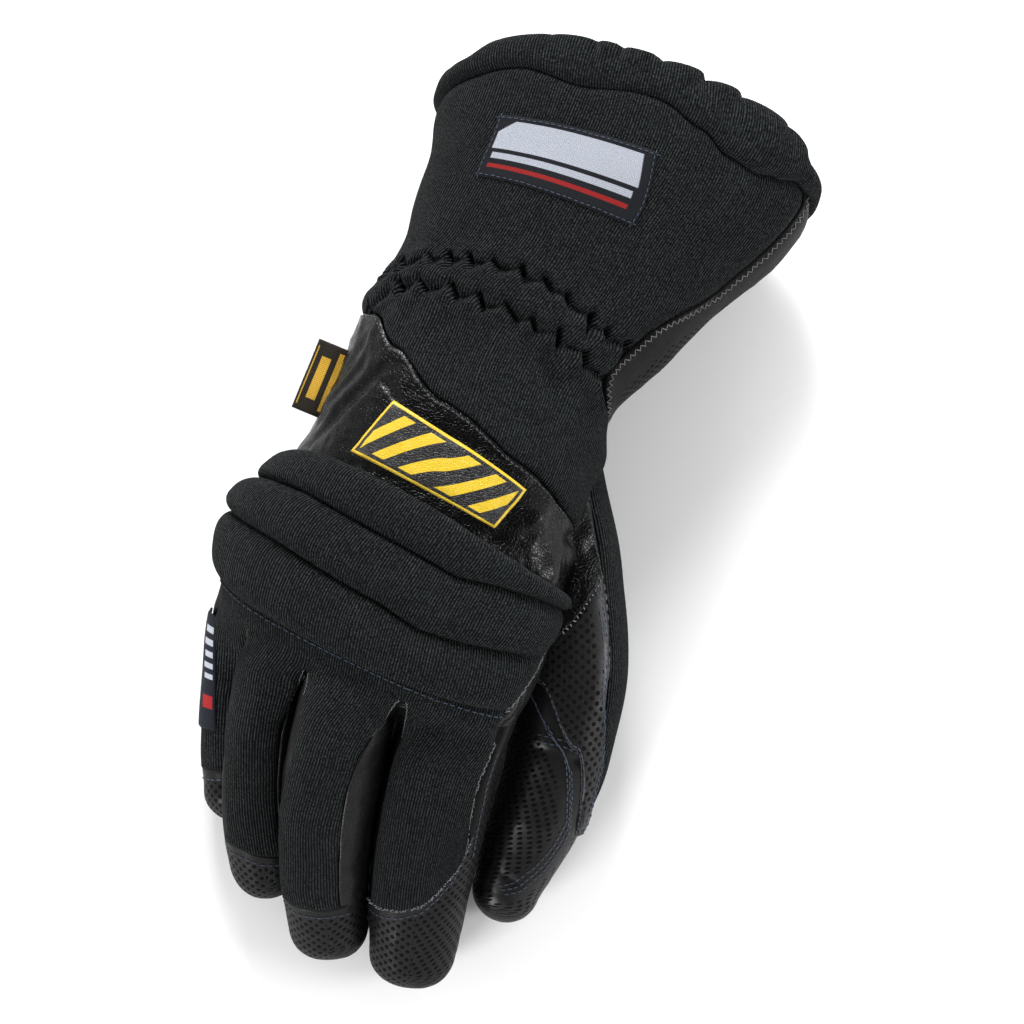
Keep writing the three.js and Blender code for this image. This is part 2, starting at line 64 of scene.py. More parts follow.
# Each digit's middle line from root to tip, with its half width and half height
DIGITS = {
    "index": np.array([
        (24.0, -44.0, 43.0, 16.0, 14.0), (23.0, -68.0, 43.5, 17.0, 15.0), (21.0, -94.0, 40.0, 17.2, 15.5),
        (22.0, -118.0, 32.0, 17.2, 15.0), (24.0, -140.0, 21.5, 16.2, 14.5), (26.5, -157.0, 13.0, 14.4, 13.6),
    ]),
    "middle": np.array([
        (-12.0, -46.0, 44.0, 15.0, 14.0), (-14.0, -70.0, 45.0, 15.4, 15.0), (-14.2, -94.0, 43.0, 15.4, 15.5),
        (-12.5, -116.0, 35.0, 15.2, 15.0), (-8.0, -139.0, 24.0, 14.4, 14.5), (-2.5, -155.5, 13.0, 13.4, 13.5),
    ]),
    "ring": np.array([
        (-41.0, -46.0, 35.0, 11.8, 13.5), (-41.5, -68.0, 35.0, 11.8, 14.5),
        (-40.0, -90.0, 32.0, 11.6, 14.5), (-37.5, -110.0, 27.0, 11.8, 14.0),
        (-33.5, -127.0, 20.0, 12.2, 13.5), (-27.5, -142.0, 12.4, 12.2, 13.0),
    ]),
    "little": np.array([
        (-54.0, -44.0, 22.0, 10.0, 12.0), (-55.5, -66.0, 17.5, 10.0, 11.5), (-53.0, -86.0, 13.5, 9.6, 11.5),
        (-49.5, -105.0, 11.0, 9.6, 11.2), (-44.5, -123.0, 10.4, 9.4, 11.0),
    ]),
    "thumb": np.array([
        (19.0, 24.0, 27.0, 17.0, 15.0), (31.0, -2.0, 25.0, 19.0, 16.5), (43.0, -28.0, 23.5, 19.5, 17.5),
        (52.0, -54.0, 22.0, 19.0, 17.5), (55.5, -80.0, 19.5, 17.0, 17.0), (55.0, -102.0, 16.0, 15.5, 15.5),
        (52.5, -120.0, 13.0, 13.5, 13.5), (51.5, -130.5, 11.4, 11.5, 12.0),
    ]),
}

# Seams round the hand, as (degrees, row): 0 degrees is the thumb's side, 90 the top, 180 the little finger's
HEM_FOLD = [
    (-90, 1.0), (0, 0.66), (29, 0.98), (42, 1.25), (52, 1.42), (64, 1.36), (75, 1.06), (88, 0.8),
    (105, 0.96), (126, 0.76), (152, 0.86), (180, 0.85), (270, 1.0), (360, 0.66), (385, 0.98),
]
HEM_RIM = [
    (0, -0.05), (27, 0.22), (43, 0.0), (64, 0.1), (77, 0.14), (97, 0.06), (113, -0.12), (136, -0.04),
    (152, 0.28), (166, 0.2), (180, -0.05), (360, -0.05),
]
PATCH_TOP = [(-25, 7.7), (0, 7.4), (22, 7.1), (65, 6.9), (98, 6.67), (125, 6.3), (153, 5.85), (200, 5.6)]
PAD_TOP, PAD_BOTTOM = 8.02, 10.32
PAD_SEAMS = [
    [(-10, 8.0), (42, 8.02), (69, 7.98), (88, 7.92), (130, 7.94), (152, 8.02), (175, 8.16), (196, 8.3)],
    [(-10, 8.22), (10, 8.25), (35, 8.3), (56, 8.4), (70, 8.52), (80, 8.5), (124, 8.46), (171, 8.56),
     (196, 8.66)],
    [(-10, 8.95), (10, 8.98), (37, 9.1), (60, 9.26), (74, 9.34), (87, 9.24), (123, 9.14), (180, 9.16),
     (196, 9.16)],
    [(-10, 10.2), (30, 10.26), (51, 10.32), (85, 10.4), (115, 10.34), (147, 10.32), (196, 10.25)],
]
SLOTS_TOP = 10.6
SLOTS_LOWER = 0, 5, 1  # rows of cloth that each slot starts below the yoke
LITTLE_SIDE, WRIST_SEAM = 196, 5.4

# The hem's gathers: degrees, depth of the groove, and how far the cloth before it stands out
HEM_GATHERS = [
    (27, 0.5, 0.5), (43, 0.5, 0.8), (64, 0.5, 0.5), (77, 1.0, 0.6), (89, 1.0, 1.2), (97, 1.0, 1.3),
    (104, 0.8, 1.0), (118, 0.25, 0.5), (138, 0.1, 0.15), (165, 0.1, 0.1), (198, 0.6, 0.6), (230, 0.8, 1.0),
    (262, 0.8, 0.8), (292, 0.8, 1.0), (322, 0.8, 0.9), (350, 0.6, 0.8),
]
CREASED_GATHERS = 7  # the first of them run on over the hem as creases

# Short folds that the elastic pinches across the back of the wrist, as (row, degrees)
UPPER_PINCHES = [(5.0, 166), (4.91, 151), (4.74, 132), (4.65, 123), (4.55, 114), (4.44, 104), (4.39, 94),
                 (4.37, 87), (4.45, 78), (4.56, 65), (4.56, 55), (4.54, 41)]
LOWER_PINCHES = [(5.82, 162), (5.33, 141), (5.23, 127), (5.14, 112), (5.11, 100), (5.03, 90), (5.03, 82),
                 (5.0, 71), (5.06, 55), (5.16, 36)]

# Corners of the print on the patch, as (row, degrees): the upper two from the thumb's side, then the lower
PRINT_CORNERS = np.array([[(7.15, 58), (6.94, 116)], [(7.79, 65), (7.78, 123)]])

# The seam across the thumb's leather, as (row, degrees)
THUMB_SEAM = [
    (3.3, 128), (3.66, 108), (3.86, 92), (4.16, 74), (4.62, 60), (5.06, 46), (5.5, 50), (5.9, 58),
    (6.5, 76), (6.75, 92),
]

# Where the index finger's knit ends, as (degrees, row), and the middle finger's right edge, as (row, degrees)
INDEX_END = [
    (40, 2.75), (46, 2.9), (52, 3.12), (66, 3.36), (76, 3.54), (87, 3.7), (106, 3.84), (137, 3.94),
    (161, 3.98), (200, 3.98), (290, 2.9), (320, 2.75),
]
MIDDLE_EDGE = [(1.5, 26), (1.76, 44), (2.02, 56), (2.5, 63), (3, 65)]

# Each finger's knit back: right and left edges in degrees, its last row, and its stretch of the yoke
BACKS = {
    "index": (
        lambda at: 40 + 5 * smooth(1.5, 2, at), lambda at: 146 + 15 * smooth(1.5, 2, at),
        lambda angle: on_seam(INDEX_END, angle), (19, 71),
    ),
    "middle": (
        lambda at: on_seam(MIDDLE_EDGE, at), lambda at: 150 + 18 * smooth(2.2, 3.2, at), 4.2, (71, 100),
    ),
    "ring": (
        lambda at: 42 + 9 * smooth(1.6, 2.3, at), lambda at: 172 - 20 * smooth(1.6, 3.6, at),
        lambda angle: 4.48 - 0.24 * smooth(60, 140, angle) + 0.24 * smooth(220, 300, angle), (100, 129),
    ),
    "little": (60, 172, 3.5, (129, 180)),
}
BACK_GRIDS = {"index": (46, 62), "middle": (44, 70), "ring": (34, 66), "little": (32, 50)}  # columns, rows
FOURCHETTES = "middle", "ring", "little"

# Thicknesses of the cloth and leather
HAND_KNIT, PAD_KNIT, FINGER_KNIT, THUMB_KNIT = 1.8, 2.0, 1.6, 1.4
LEATHER, PATCH_LEATHER, SADDLE_LEATHER, LINING = 1.8, 1.4, 1.4, 1.2
LABEL, TAPE, PRINT = 0.7, 0.45, 0.3
BURIED = 8.0  # cloth that lies deeper than this inside another form is left out


def smooth(low, high, value):
    """0 at low and 1 at high, with a smooth step between them."""
    share = np.clip((np.asarray(value, float) - low) / (high - low), 0, 1)
    return share * share * (3 - 2 * share)


def lerp(a, b, share):
    return a + (b - a) * share


def value_of(edge, place):
    """An edge's value at a place, whether the edge is a number or a function."""
    return edge(place) if callable(edge) else edge


def seam_at(seam, angle):
    """A seam's row at an angle, from its table."""
    table = np.array(seam, float)
    i = np.clip(np.searchsorted(table[:, 0], angle, side="right"), 1, len(table) - 1)
    return lerp(table[i - 1, 1], table[i, 1], smooth(table[i - 1, 0], table[i, 0], angle))


def on_seam(table, angle):
    """A seam's row at an angle, straight between its points."""
    angles, rows = zip(*sorted(table))
    return np.interp(angle, angles, rows)


def hem_fold(angle):
    return seam_at(HEM_FOLD, angle)


def patch_top(angle):
    return seam_at(PATCH_TOP, angle)


def cuff_seam(at):
    """Degrees of the seam between the knit and the leather, which runs round the heel of the hand."""
    return 18 + 20 * smooth(2.9, 4.2, at) - 62 * smooth(4.9, 6.2, at)


def knit_edge(at):
    """Degrees of the edge between the thumb's leather and its knit."""
    return 50 - 28 * smooth(3.3, 4.4, at) - 22 * smooth(4.4, 5, at)


def row_at(table, at):
    """A row between two rows of a table, on a curve through all of them."""
    last = len(table) - 1
    i = np.clip(np.floor(at).astype(int), 0, last - 1)
    f = (at - i)[..., None]
    a, b, c, d = (table[np.clip(i + k, 0, last)] for k in (-1, 0, 1, 2))
    return b + 0.5 * f * (c - a + f * (2 * a - 5 * b + 4 * c - d + f * (3 * (b - c) + d - a)))


def squared(value, squareness):
    return np.sign(value) * np.abs(value) ** (2 / squareness)


def on_hand(at, angle, out=0.0):
    """Points on the cuff and hand, out millimetres off the form and never under the floor."""
    at, angle, out = np.broadcast_arrays(np.asarray(at, float), np.asarray(angle, float), out)
    last = len(HAND) - 1
    x, y, turn, roll, half, low, high, lean = np.moveaxis(row_at(HAND, np.minimum(at, last)), -1, 0)
    closing = np.clip(at - last, 0, 1) * math.pi / 2
    turn, roll, a = np.radians(turn), np.radians(roll), np.radians(angle)
    side = squared(np.cos(a), 2.4) * np.cos(closing) ** 0.7
    rise = squared(np.sin(a), 2.4) * np.cos(closing)
    lean = lean * np.where(rise > 0, rise, 0.4 * rise) - np.sin(closing) * (7 + out)
    across, tall = (half + out) * side, ((high - low) / 2 + out) * rise
    plan = np.cos(roll) * across - np.sin(roll) * tall
    height = (high + low) / 2 + np.sin(roll) * across + np.cos(roll) * tall
    floor = np.maximum(0.05 - out, 0.05)
    return np.stack([
        x + np.cos(turn) * plan - np.sin(turn) * lean,
        y + np.sin(turn) * plan + np.cos(turn) * lean,
        np.maximum(height, floor),
    ], -1)


def digit_form(name):
    """The same on a digit, whose sections stand square to its middle line and close at its tip."""
    table = DIGITS[name]

    def on_digit(at, angle, out=0.0):
        at, angle, out = np.broadcast_arrays(np.asarray(at, float), np.asarray(angle, float), out)
        last = len(table) - 1
        on = np.minimum(at, last)
        x, y, z, wide, tall = np.moveaxis(row_at(table, on), -1, 0)
        behind, ahead = (row_at(table, np.clip(on + step, 0, last))[..., :3] for step in (-0.05, 0.05))
        along = ahead - behind
        along /= np.linalg.norm(along, axis=-1, keepdims=True)
        side = np.cross([0, 0, 1.0], along)
        side /= np.linalg.norm(side, axis=-1, keepdims=True)
        up = np.cross(along, side)
        closing = np.clip(at - last, 0, 1) * math.pi / 2
        shrink = np.clip(np.cos(closing), 0, 1) ** 0.9
        a = np.radians(angle)
        points = (
            np.stack([x, y, z], -1)
            + along * (np.sin(closing) * (np.minimum(wide, tall) + out))[..., None]
            + side * ((wide + out) * shrink * squared(np.cos(a), 2.2))[..., None]
            + up * ((tall + out) * shrink * squared(np.sin(a), 2.2))[..., None]
        )
        points[..., 2] = np.maximum(points[..., 2], np.maximum(0.05 - out, 0.05))
        return points

    return on_digit


FORMS = {"hand": on_hand, **{name: digit_form(name) for name in DIGITS}}


def last_row(name):
    return len(HAND if name == "hand" else DIGITS[name]) - 1


def soft_noise(points, size, seed):
    """Smooth noise from -1 to 1 over points, with lumps of a size in millimetres."""
    place = np.asarray(points, float) / size + seed * 17.31
    cell = np.floor(place).astype(np.int64)
    f = place - cell
    f = f * f * (3 - 2 * f)
    total = 0.0
    for corner in range(8):
        step = np.array([corner & 1, corner >> 1 & 1, corner >> 2 & 1])
        c = cell + step
        mixed = (c[..., 0] * 73856093) ^ (c[..., 1] * 19349663) ^ (c[..., 2] * 83492791) ^ (seed * 2654435761)
        mixed = (mixed ^ (mixed >> 13)) * 1274126177 & 0x7FFFFFFF
        weight = np.prod(np.where(step == 1, f, 1 - f), axis=-1)
        total = total + weight * ((mixed % 20011) / 10005.0 - 1)
    return total


def bell(distance, width):
    """1 at no distance, and smoothly less over a width."""
    return np.exp(-((distance / width) ** 2))


def mound(at, angle, centre, widths):
    """A bell over rows and degrees, round a centre of (row, degrees)."""
    return np.exp(-(((at - centre[0]) / widths[0]) ** 2) - (((angle - centre[1]) / widths[1]) ** 2))


def dents(points, lines):
    """How deep folds press points in. A fold runs between two points, with a depth and a width."""
    total = np.zeros(points.shape[:-1])
    for a, b, depth, width in lines:
        a, b = np.asarray(a, float), np.asarray(b, float)
        ab = b - a
        share = np.clip(((points - a) @ ab) / max(ab @ ab, 1e-9), 0, 1)
        away = np.linalg.norm(points - (a + share[..., None] * ab), axis=-1)
        ends = 0.35 + 0.65 * np.sin(np.pi * np.clip(share, 0.001, 0.999)) ** 0.5
        total = total + depth * ends * bell(away, width)
    return total


# What has been made so far, by name
CHARTS, HULLS, GROUPS, LOOKS, PANELS, TREES = {}, {}, {}, {}, {}, {}


def chart(name, at, angle):
    """A place's spot on the flat cut, in millimetres round the form from its top and along it."""
    if name not in CHARTS:
        ats, angles = np.linspace(0, last_row(name) + 1, 40 * last_row(name)), np.arange(-100, 561, 3.0)
        grid = FORMS[name](ats[:, None], angles[None, :])
        over = np.cumsum(np.linalg.norm(np.diff(grid, axis=1, prepend=grid[:, :1]), axis=-1), 1)
        along = np.cumsum(np.linalg.norm(np.diff(grid, axis=0, prepend=grid[:1]), axis=-1), 0)
        top = np.argmin(np.abs(angles - 90))
        along = np.broadcast_to(along[:, top:top + 1], over.shape)
        CHARTS[name] = ats, angles, np.stack([over - over[:, top:top + 1], along], -1)
    ats, angles, table = CHARTS[name]
    i = np.clip((at - ats[0]) / (ats[1] - ats[0]), 0, len(ats) - 1.001)
    j = np.clip((angle - angles[0]) / 3.0, 0, len(angles) - 1.001)
    i0, j0 = i.astype(int), j.astype(int)
    fi, fj = (i - i0)[..., None], (j - j0)[..., None]
    right, left = (lerp(table[i0, j], table[i0 + 1, j], fi) for j in (j0, j0 + 1))
    return lerp(right, left, fj)


class Panel:
    """A sewn panel on a form, as a grid of rows from start to end and columns from right to left."""

    def __init__(self, form, start, end, right, left, rows, columns, lift=0.0):
        shares = np.linspace(0, 1, rows + 1) if np.isscalar(rows) else np.asarray(rows, float)
        acrosses = np.linspace(0, 1, columns + 1) if np.isscalar(columns) else np.asarray(columns, float)
        self.share, self.across = np.meshgrid(shares, acrosses, indexing="ij")
        self.form = FORMS[form]
        self.at = lerp(value_of(start, 90.0), value_of(end, 90.0), self.share)
        for _ in range(12):
            self.angle = lerp(value_of(right, self.at), value_of(left, self.at), self.across)
            self.at = lerp(value_of(start, self.angle), value_of(end, self.angle), self.share)
        self.lift = lift
        self.measure(self.form(self.at, self.angle, lift))
        self.flat = chart(form, self.at, self.angle)

    @classmethod
    def over(cls, base, shares, acrosses):
        """A panel over points of its own, on no form."""
        panel = cls.__new__(cls)
        panel.share, panel.across = np.meshgrid(shares, acrosses, indexing="ij")
        panel.measure(base)
        return panel

    def measure(self, base):
        """Arc lengths over the grid, from which come the distances to each edge and the flat cut."""
        self.base = base
        down = np.linalg.norm(np.diff(base, axis=0), axis=-1)
        over = np.linalg.norm(np.diff(base, axis=1), axis=-1)
        self.from_start = np.vstack([np.zeros((1, base.shape[1])), np.cumsum(down, 0)])
        self.from_right = np.hstack([np.zeros((base.shape[0], 1)), np.cumsum(over, 1)])
        self.from_end = self.from_start[-1:] - self.from_start
        self.from_left = self.from_right[:, -1:] - self.from_right
        middle = base.shape[1] // 2
        x = self.from_right - self.from_right[:, middle:middle + 1]
        y = np.broadcast_to(self.from_start.mean(axis=1, keepdims=True), x.shape)
        self.flat = np.stack([x, 0.5 * (y + self.from_start)], -1)
        self.points = base

    def edge(self, names="start end right left"):
        """The distance to the nearest of the named edges."""
        return np.min([getattr(self, "from_" + name) for name in names.split()], axis=0)

    def raised(self, out):
        """Moves the panel's points out by a relief."""
        self.points = self.form(self.at, self.angle, self.lift + out)
        return self

    def normals(self):
        along, over = np.gradient(self.points, axis=0), np.gradient(self.points, axis=1)
        normal = np.cross(over, along)
        return normal / np.maximum(np.linalg.norm(normal, axis=-1, keepdims=True), 1e-9)

    def size(self):
        """Width and length of the flat cut, in metres."""
        return float(self.from_right[:, -1].mean()) * MM, float(self.from_start[-1].mean()) * MM

    def inset(self, edge, distance, first=0.0, last=1.0, proud=0.1):
        """A line along an edge, at a distance inside it: its points and the cloth's normals there."""
        points, normals = self.points, self.normals()
        lengths = getattr(self, "from_" + edge)
        if edge in ("right", "left"):
            points, normals, lengths = points.swapaxes(0, 1), normals.swapaxes(0, 1), lengths.T
        if edge in ("end", "left"):
            points, normals, lengths = points[::-1], normals[::-1], lengths[::-1]
        count = lengths.shape[1]
        picked = range(int(first * (count - 1)), int(last * (count - 1)) + 1)
        line, facing = (line_across(lengths, grid, picked, distance) for grid in (points, normals))
        return line + proud * facing, facing


def line_across(lengths, grid, columns, distance):
    """Where a grid's columns have run for a distance, by their lengths."""
    return np.array([[np.interp(distance, lengths[:, j], grid[:, j, k]) for k in range(3)] for j in columns])


def tuck(distance, depth, width):
    """A panel's edge turned down into its seam."""
    near = np.clip(1 - distance / width, 0, 1)
    return -depth * near ** 2


def vertex_normals(points, faces):
    normals = np.zeros_like(points)
    a, b, c, d = (points[faces[:, k]] for k in range(4))
    normal = np.cross(c - a, d - b)
    for k in range(4):
        np.add.at(normals, faces[:, k], normal)
    return normals / np.maximum(np.linalg.norm(normals, axis=1, keepdims=True), 1e-12)


def write_mesh(name, points, faces, flat, look):
    """A mesh object in metres from quads, some of which may have two corners in one."""
    mesh = bpy.data.meshes.new(name)
    corners, loops = [], []
    for face, start in zip(faces.tolist(), range(0, 4 * len(faces), 4)):
        seen = [k for k in range(4) if face[k] != face[k - 1]]
        if len(seen) > 2:
            corners.append([face[k] for k in seen])
            loops.extend(start + k for k in seen)
    mesh.from_pydata((points * MM).tolist(), [], corners)
    layer = mesh.uv_layers.new(name="Cut")
    layer.uv.foreach_set("vector", flat.reshape(-1, 2)[loops].astype(np.float32).ravel())
    mesh.polygons.foreach_set("use_smooth", np.ones(len(mesh.polygons), bool))
    mesh.materials.append(look)
    mesh.update()
    made = bpy.data.objects.new(name, mesh)
    bpy.context.scene.collection.objects.link(made)
    return made


def grid_quads(rows, columns):
    """The faces of a grid of points, by the points' numbers."""
    index = np.arange(rows * columns).reshape(rows, columns)
    return np.stack([index[:-1, :-1], index[:-1, 1:], index[1:, 1:], index[1:, :-1]], -1).reshape(-1, 4)


def sewn(name, panels, thickness, look, nodes=(), drop=None):
    """Joins panels into one closed shell, thickened inwards. drop marks the hidden faces to leave out."""
    points, faces, flat, plain, start = [], [], [], [], 0
    for panel in panels:
        rows, columns = panel.points.shape[:2]
        quads = start + grid_quads(rows, columns)
        if drop is not None:
            hidden = drop(panel)
            gone = hidden[:-1, :-1] & hidden[:-1, 1:] & hidden[1:, 1:] & hidden[1:, :-1]
            for _ in range(4):  # no two faces are left that meet at a corner alone
                a, b, c, d = gone[:-1, :-1], gone[:-1, 1:], gone[1:, :-1], gone[1:, 1:]
                pinched = (a == d) & (b == c) & (a != b)
                for block in (a, b, c, d):
                    block[pinched] = False
            quads = quads[~gone.ravel()]
        points.append(panel.points.reshape(-1, 3))
        flat.append(panel.flat.reshape(-1, 2))
        plain.append(np.broadcast_to(getattr(panel, "plain", 0.0), (rows, columns)).ravel())
        faces.append(quads)
        start += rows * columns
    points, faces, flat, plain = np.vstack(points), np.vstack(faces), np.vstack(flat), np.hstack(plain)
    flat = flat[faces]
    keys = np.round((points + 0.00317) / 0.01).astype(np.int64)
    _, first, inverse = np.unique(keys, axis=0, return_index=True, return_inverse=True)
    points, plain, faces = points[first], plain[first], inverse.ravel()[faces]
    used, faces = np.unique(faces, return_inverse=True)
    points, plain, faces = points[used], plain[used], faces.reshape(-1, 4)
    whole = (faces != np.roll(faces, 1, axis=1)).sum(axis=1) > 2
    faces, flat = faces[whole], flat[whole]
    count = len(points)
    inner = points - thickness * vertex_normals(points, faces)
    inner[:, 2] = np.maximum(inner[:, 2], 0.05)
    edges = np.vstack([faces[:, [k, (k + 1) % 4]] for k in range(4)])
    corners = np.vstack([flat[:, [k, (k + 1) % 4]] for k in range(4)])
    real = edges[:, 0] != edges[:, 1]
    edges, corners = edges[real], corners[real]
    sorted_edges = np.sort(edges, axis=1)
    _, where, counts = np.unique(sorted_edges, axis=0, return_inverse=True, return_counts=True)
    rim = counts[where.ravel()] == 1
    a, b = edges[rim].T
    rim_faces = np.stack([b, a, a + count, b + count], -1)
    rim_flat = np.stack([corners[rim][:, 1], corners[rim][:, 0], corners[rim][:, 0], corners[rim][:, 1]], 1)
    all_faces = np.vstack([faces, faces[:, ::-1] + count, rim_faces])
    all_flat = np.concatenate([flat, flat[:, ::-1], rim_flat])
    made = write_mesh(name, np.vstack([points, inner]), all_faces, all_flat, look)
    without_dots = made.data.attributes.new("plain", "FLOAT", "POINT")
    without_dots.data.foreach_set("value", np.tile(plain, 2).astype(np.float32))
    finish_piece(made, nodes)
    return made


def finish_piece(made, nodes=()):
    """Hangs a piece on the glove's one body, and hides the solids that it stands for."""
    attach(made, "root")
    if nodes:
        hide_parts(*nodes)


def depth_in(name, points):
    """How deep points lie inside a form's hull, negative outside."""
    if name not in HULLS:
        form, last = FORMS[name], last_row(name)
        at, angle = np.meshgrid(np.r_[np.linspace(0, last, 6 * last), last + np.linspace(0.1, 1, 8)],
                                np.linspace(0, 360, 73), indexing="ij")
        grid = form(at, angle)
        HULLS[name] = BVHTree.FromPolygons(grid.reshape(-1, 3).tolist(), grid_quads(*grid.shape[:2]).tolist())
    tree = HULLS[name]
    result = np.empty(points.shape[:-1])
    flat = result.reshape(-1)
    for i, point in enumerate(points.reshape(-1, 3)):
        found, normal, _, distance = tree.find_nearest(point)
        facing = sum((point[k] - found[k]) * normal[k] for k in range(3))
        flat[i] = -math.copysign(distance, facing)
    return result


def inside_others(names, margin=BURIED):
    """Marks the points that lie deep inside the hulls of other forms."""
    def mark(panel):
        hidden = np.zeros(panel.points.shape[:2], bool)
        for name in names:
            hidden |= depth_in(name, panel.points) > margin
        return hidden
    return mark


# Materials


def nodes_of(name):
    """A new material and its node tree."""
    look = bpy.data.materials.new(name)
    look.use_nodes = True
    return look, look.node_tree


def add(tree, kind, **values):
    """A node with its settings. A name that starts with in_ sets an input."""
    node = tree.nodes.new(kind)
    for key, value in values.items():
        if key.startswith("in_"):
            socket = key[3:]
            node.inputs[int(socket) if socket.isdigit() else socket.replace("_", " ")].default_value = value
        else:
            setattr(node, key, value)
    return node


def link(tree, source, target):
    tree.links.new(source, target)


def feed(tree, value, socket):
    """Gives a socket a plain value, or another node's output. None leaves its default."""
    if isinstance(value, (int, float, tuple)):
        socket.default_value = value
    elif value is not None:
        link(tree, value, socket)


def math_node(tree, operation, a, b=None, c=None, clamp=False):
    node = add(tree, "ShaderNodeMath", operation=operation, use_clamp=clamp)
    for socket, value in zip(node.inputs, (a, b, c)):
        feed(tree, value, socket)
    return node.outputs[0]


def ramp(tree, source, low, high, to_low=0.0, to_high=1.0):
    node = add(tree, "ShaderNodeMapRange", interpolation_type="SMOOTHSTEP")
    link(tree, source, node.inputs["Value"])
    for key, value in (("From Min", low), ("From Max", high), ("To Min", to_low), ("To Max", to_high)):
        node.inputs[key].default_value = value
    return node.outputs["Result"]


def mixed(tree, share, a, b):
    node = add(tree, "ShaderNodeMix", data_type="RGBA")
    for k, value in ((0, share), (6, a), (7, b)):
        feed(tree, value, node.inputs[k])
    return node.outputs[2]


def new_group(name, inputs, outputs):
    """An empty shader node group with named sockets, the inputs with a default."""
    group = bpy.data.node_groups.new(name, "ShaderNodeTree")
    for label, kind, default in inputs:
        socket = group.interface.new_socket(label, in_out="INPUT", socket_type=kind)
        if default is not None:
            socket.default_value = default
    for label, kind in outputs:
        group.interface.new_socket(label, in_out="OUTPUT", socket_type=kind)
    return group, group.nodes.new("NodeGroupInput"), group.nodes.new("NodeGroupOutput")


def placed(tree, group, vector, **values):
    """A group set into a material, with its own values."""
    node = add(tree, "ShaderNodeGroup", node_tree=group)
    link(tree, vector, node.inputs["Vector"])
    for key, value in values.items():
        node.inputs[key.replace("_", " ")].default_value = value
    return node


def knit_group():
    """Fine ribs of a knit, each a column of slanted loops, from the flat cut in millimetres. Its Tone is
    partly painted light: painted highlight on the loops' crests and painted shade in the valleys between
    ribs, times random flecks and per-loop and broad tone.
    """
    group, start, end = new_group("Rib knit", [
        ("Vector", "NodeSocketVector", None), ("Rib", "NodeSocketFloat", 0.9),
        ("Course", "NodeSocketFloat", 0.8),
    ], [("Height", "NodeSocketFloat"), ("Tone", "NodeSocketFloat"), ("Lint", "NodeSocketFloat")])
    wander = add(group, "ShaderNodeTexNoise", in_Scale=0.05, in_Detail=1.0)
    link(group, start.outputs["Vector"], wander.inputs["Vector"])
    split = add(group, "ShaderNodeSeparateXYZ")
    link(group, start.outputs["Vector"], split.inputs[0])
    x = math_node(group, "MULTIPLY_ADD", wander.outputs[0], 1.6, split.outputs[0])
    ribs = math_node(group, "DIVIDE", x, start.outputs["Rib"])
    across = math_node(group, "MULTIPLY", ribs, 2 * math.pi)
    odd = math_node(group, "MULTIPLY", math_node(group, "FLOOR", ribs), 0.37)
    courses = math_node(group, "DIVIDE", split.outputs[1], start.outputs["Course"])
    slanted = math_node(group, "MULTIPLY_ADD", math_node(group, "FRACT", ribs), 0.5, odd)
    courses = math_node(group, "ADD", courses, slanted)
    along = math_node(group, "MULTIPLY", courses, 2 * math.pi)
    rib = math_node(group, "MULTIPLY_ADD", math_node(group, "COSINE", across), -0.5, 0.5)
    rib = math_node(group, "POWER", rib, 1.4)
    loops = math_node(group, "MULTIPLY_ADD", math_node(group, "SINE", along), 0.5, 0.5)
    fibres = add(group, "ShaderNodeTexNoise", in_Scale=1.5, in_Detail=3.0, in_Roughness=0.7)
    link(group, start.outputs["Vector"], fibres.inputs["Vector"])
    yarn = math_node(group, "MULTIPLY", rib, math_node(group, "MULTIPLY_ADD", loops, 0.25, 0.75))
    loop = add(group, "ShaderNodeCombineXYZ")
    link(group, math_node(group, "FLOOR", ribs), loop.inputs[0])
    link(group, math_node(group, "FLOOR", courses), loop.inputs[1])
    chance = add(group, "ShaderNodeTexWhiteNoise", noise_dimensions="2D")
    link(group, loop.outputs[0], chance.inputs["Vector"])
    height = math_node(group, "MULTIPLY_ADD", fibres.outputs[0], 0.5, yarn)
    link(group, height, end.inputs["Height"])
    broad = add(group, "ShaderNodeTexNoise", in_Scale=0.12, in_Detail=4.0, in_Roughness=0.6)
    link(group, start.outputs["Vector"], broad.inputs["Vector"])
    flecks = ramp(group, fibres.outputs[0], 0.32, 0.7, 0.1, 1.4)
    # Tone follows the yarn's height: painted highlight on the crests and painted shade in the valleys, times
    # random flecks, loops and areas
    tone = math_node(group, "MULTIPLY", math_node(group, "MULTIPLY_ADD", yarn, 0.9, 0.1), flecks)
    by_loop = math_node(group, "MULTIPLY_ADD", chance.outputs["Value"], 0.7, 0.65)
    by_area = math_node(group, "MULTIPLY_ADD", broad.outputs[0], 0.6, 0.7)
    tone = math_node(group, "MULTIPLY", math_node(group, "MULTIPLY", tone, by_loop), by_area, clamp=True)
    link(group, tone, end.inputs["Tone"])
    stretch = add(group, "ShaderNodeMapping", in_Scale=(1.6, 0.35, 1.0), in_Rotation=(0, 0, 0.5))
    link(group, start.outputs["Vector"], stretch.inputs["Vector"])
    hairs = add(group, "ShaderNodeTexNoise", in_Scale=1.3, in_Detail=2.0, in_Distortion=1.5)
    link(group, stretch.outputs[0], hairs.inputs["Vector"])
    link(group, ramp(group, hairs.outputs[0], 0.7, 0.82), end.inputs["Lint"])
    return group


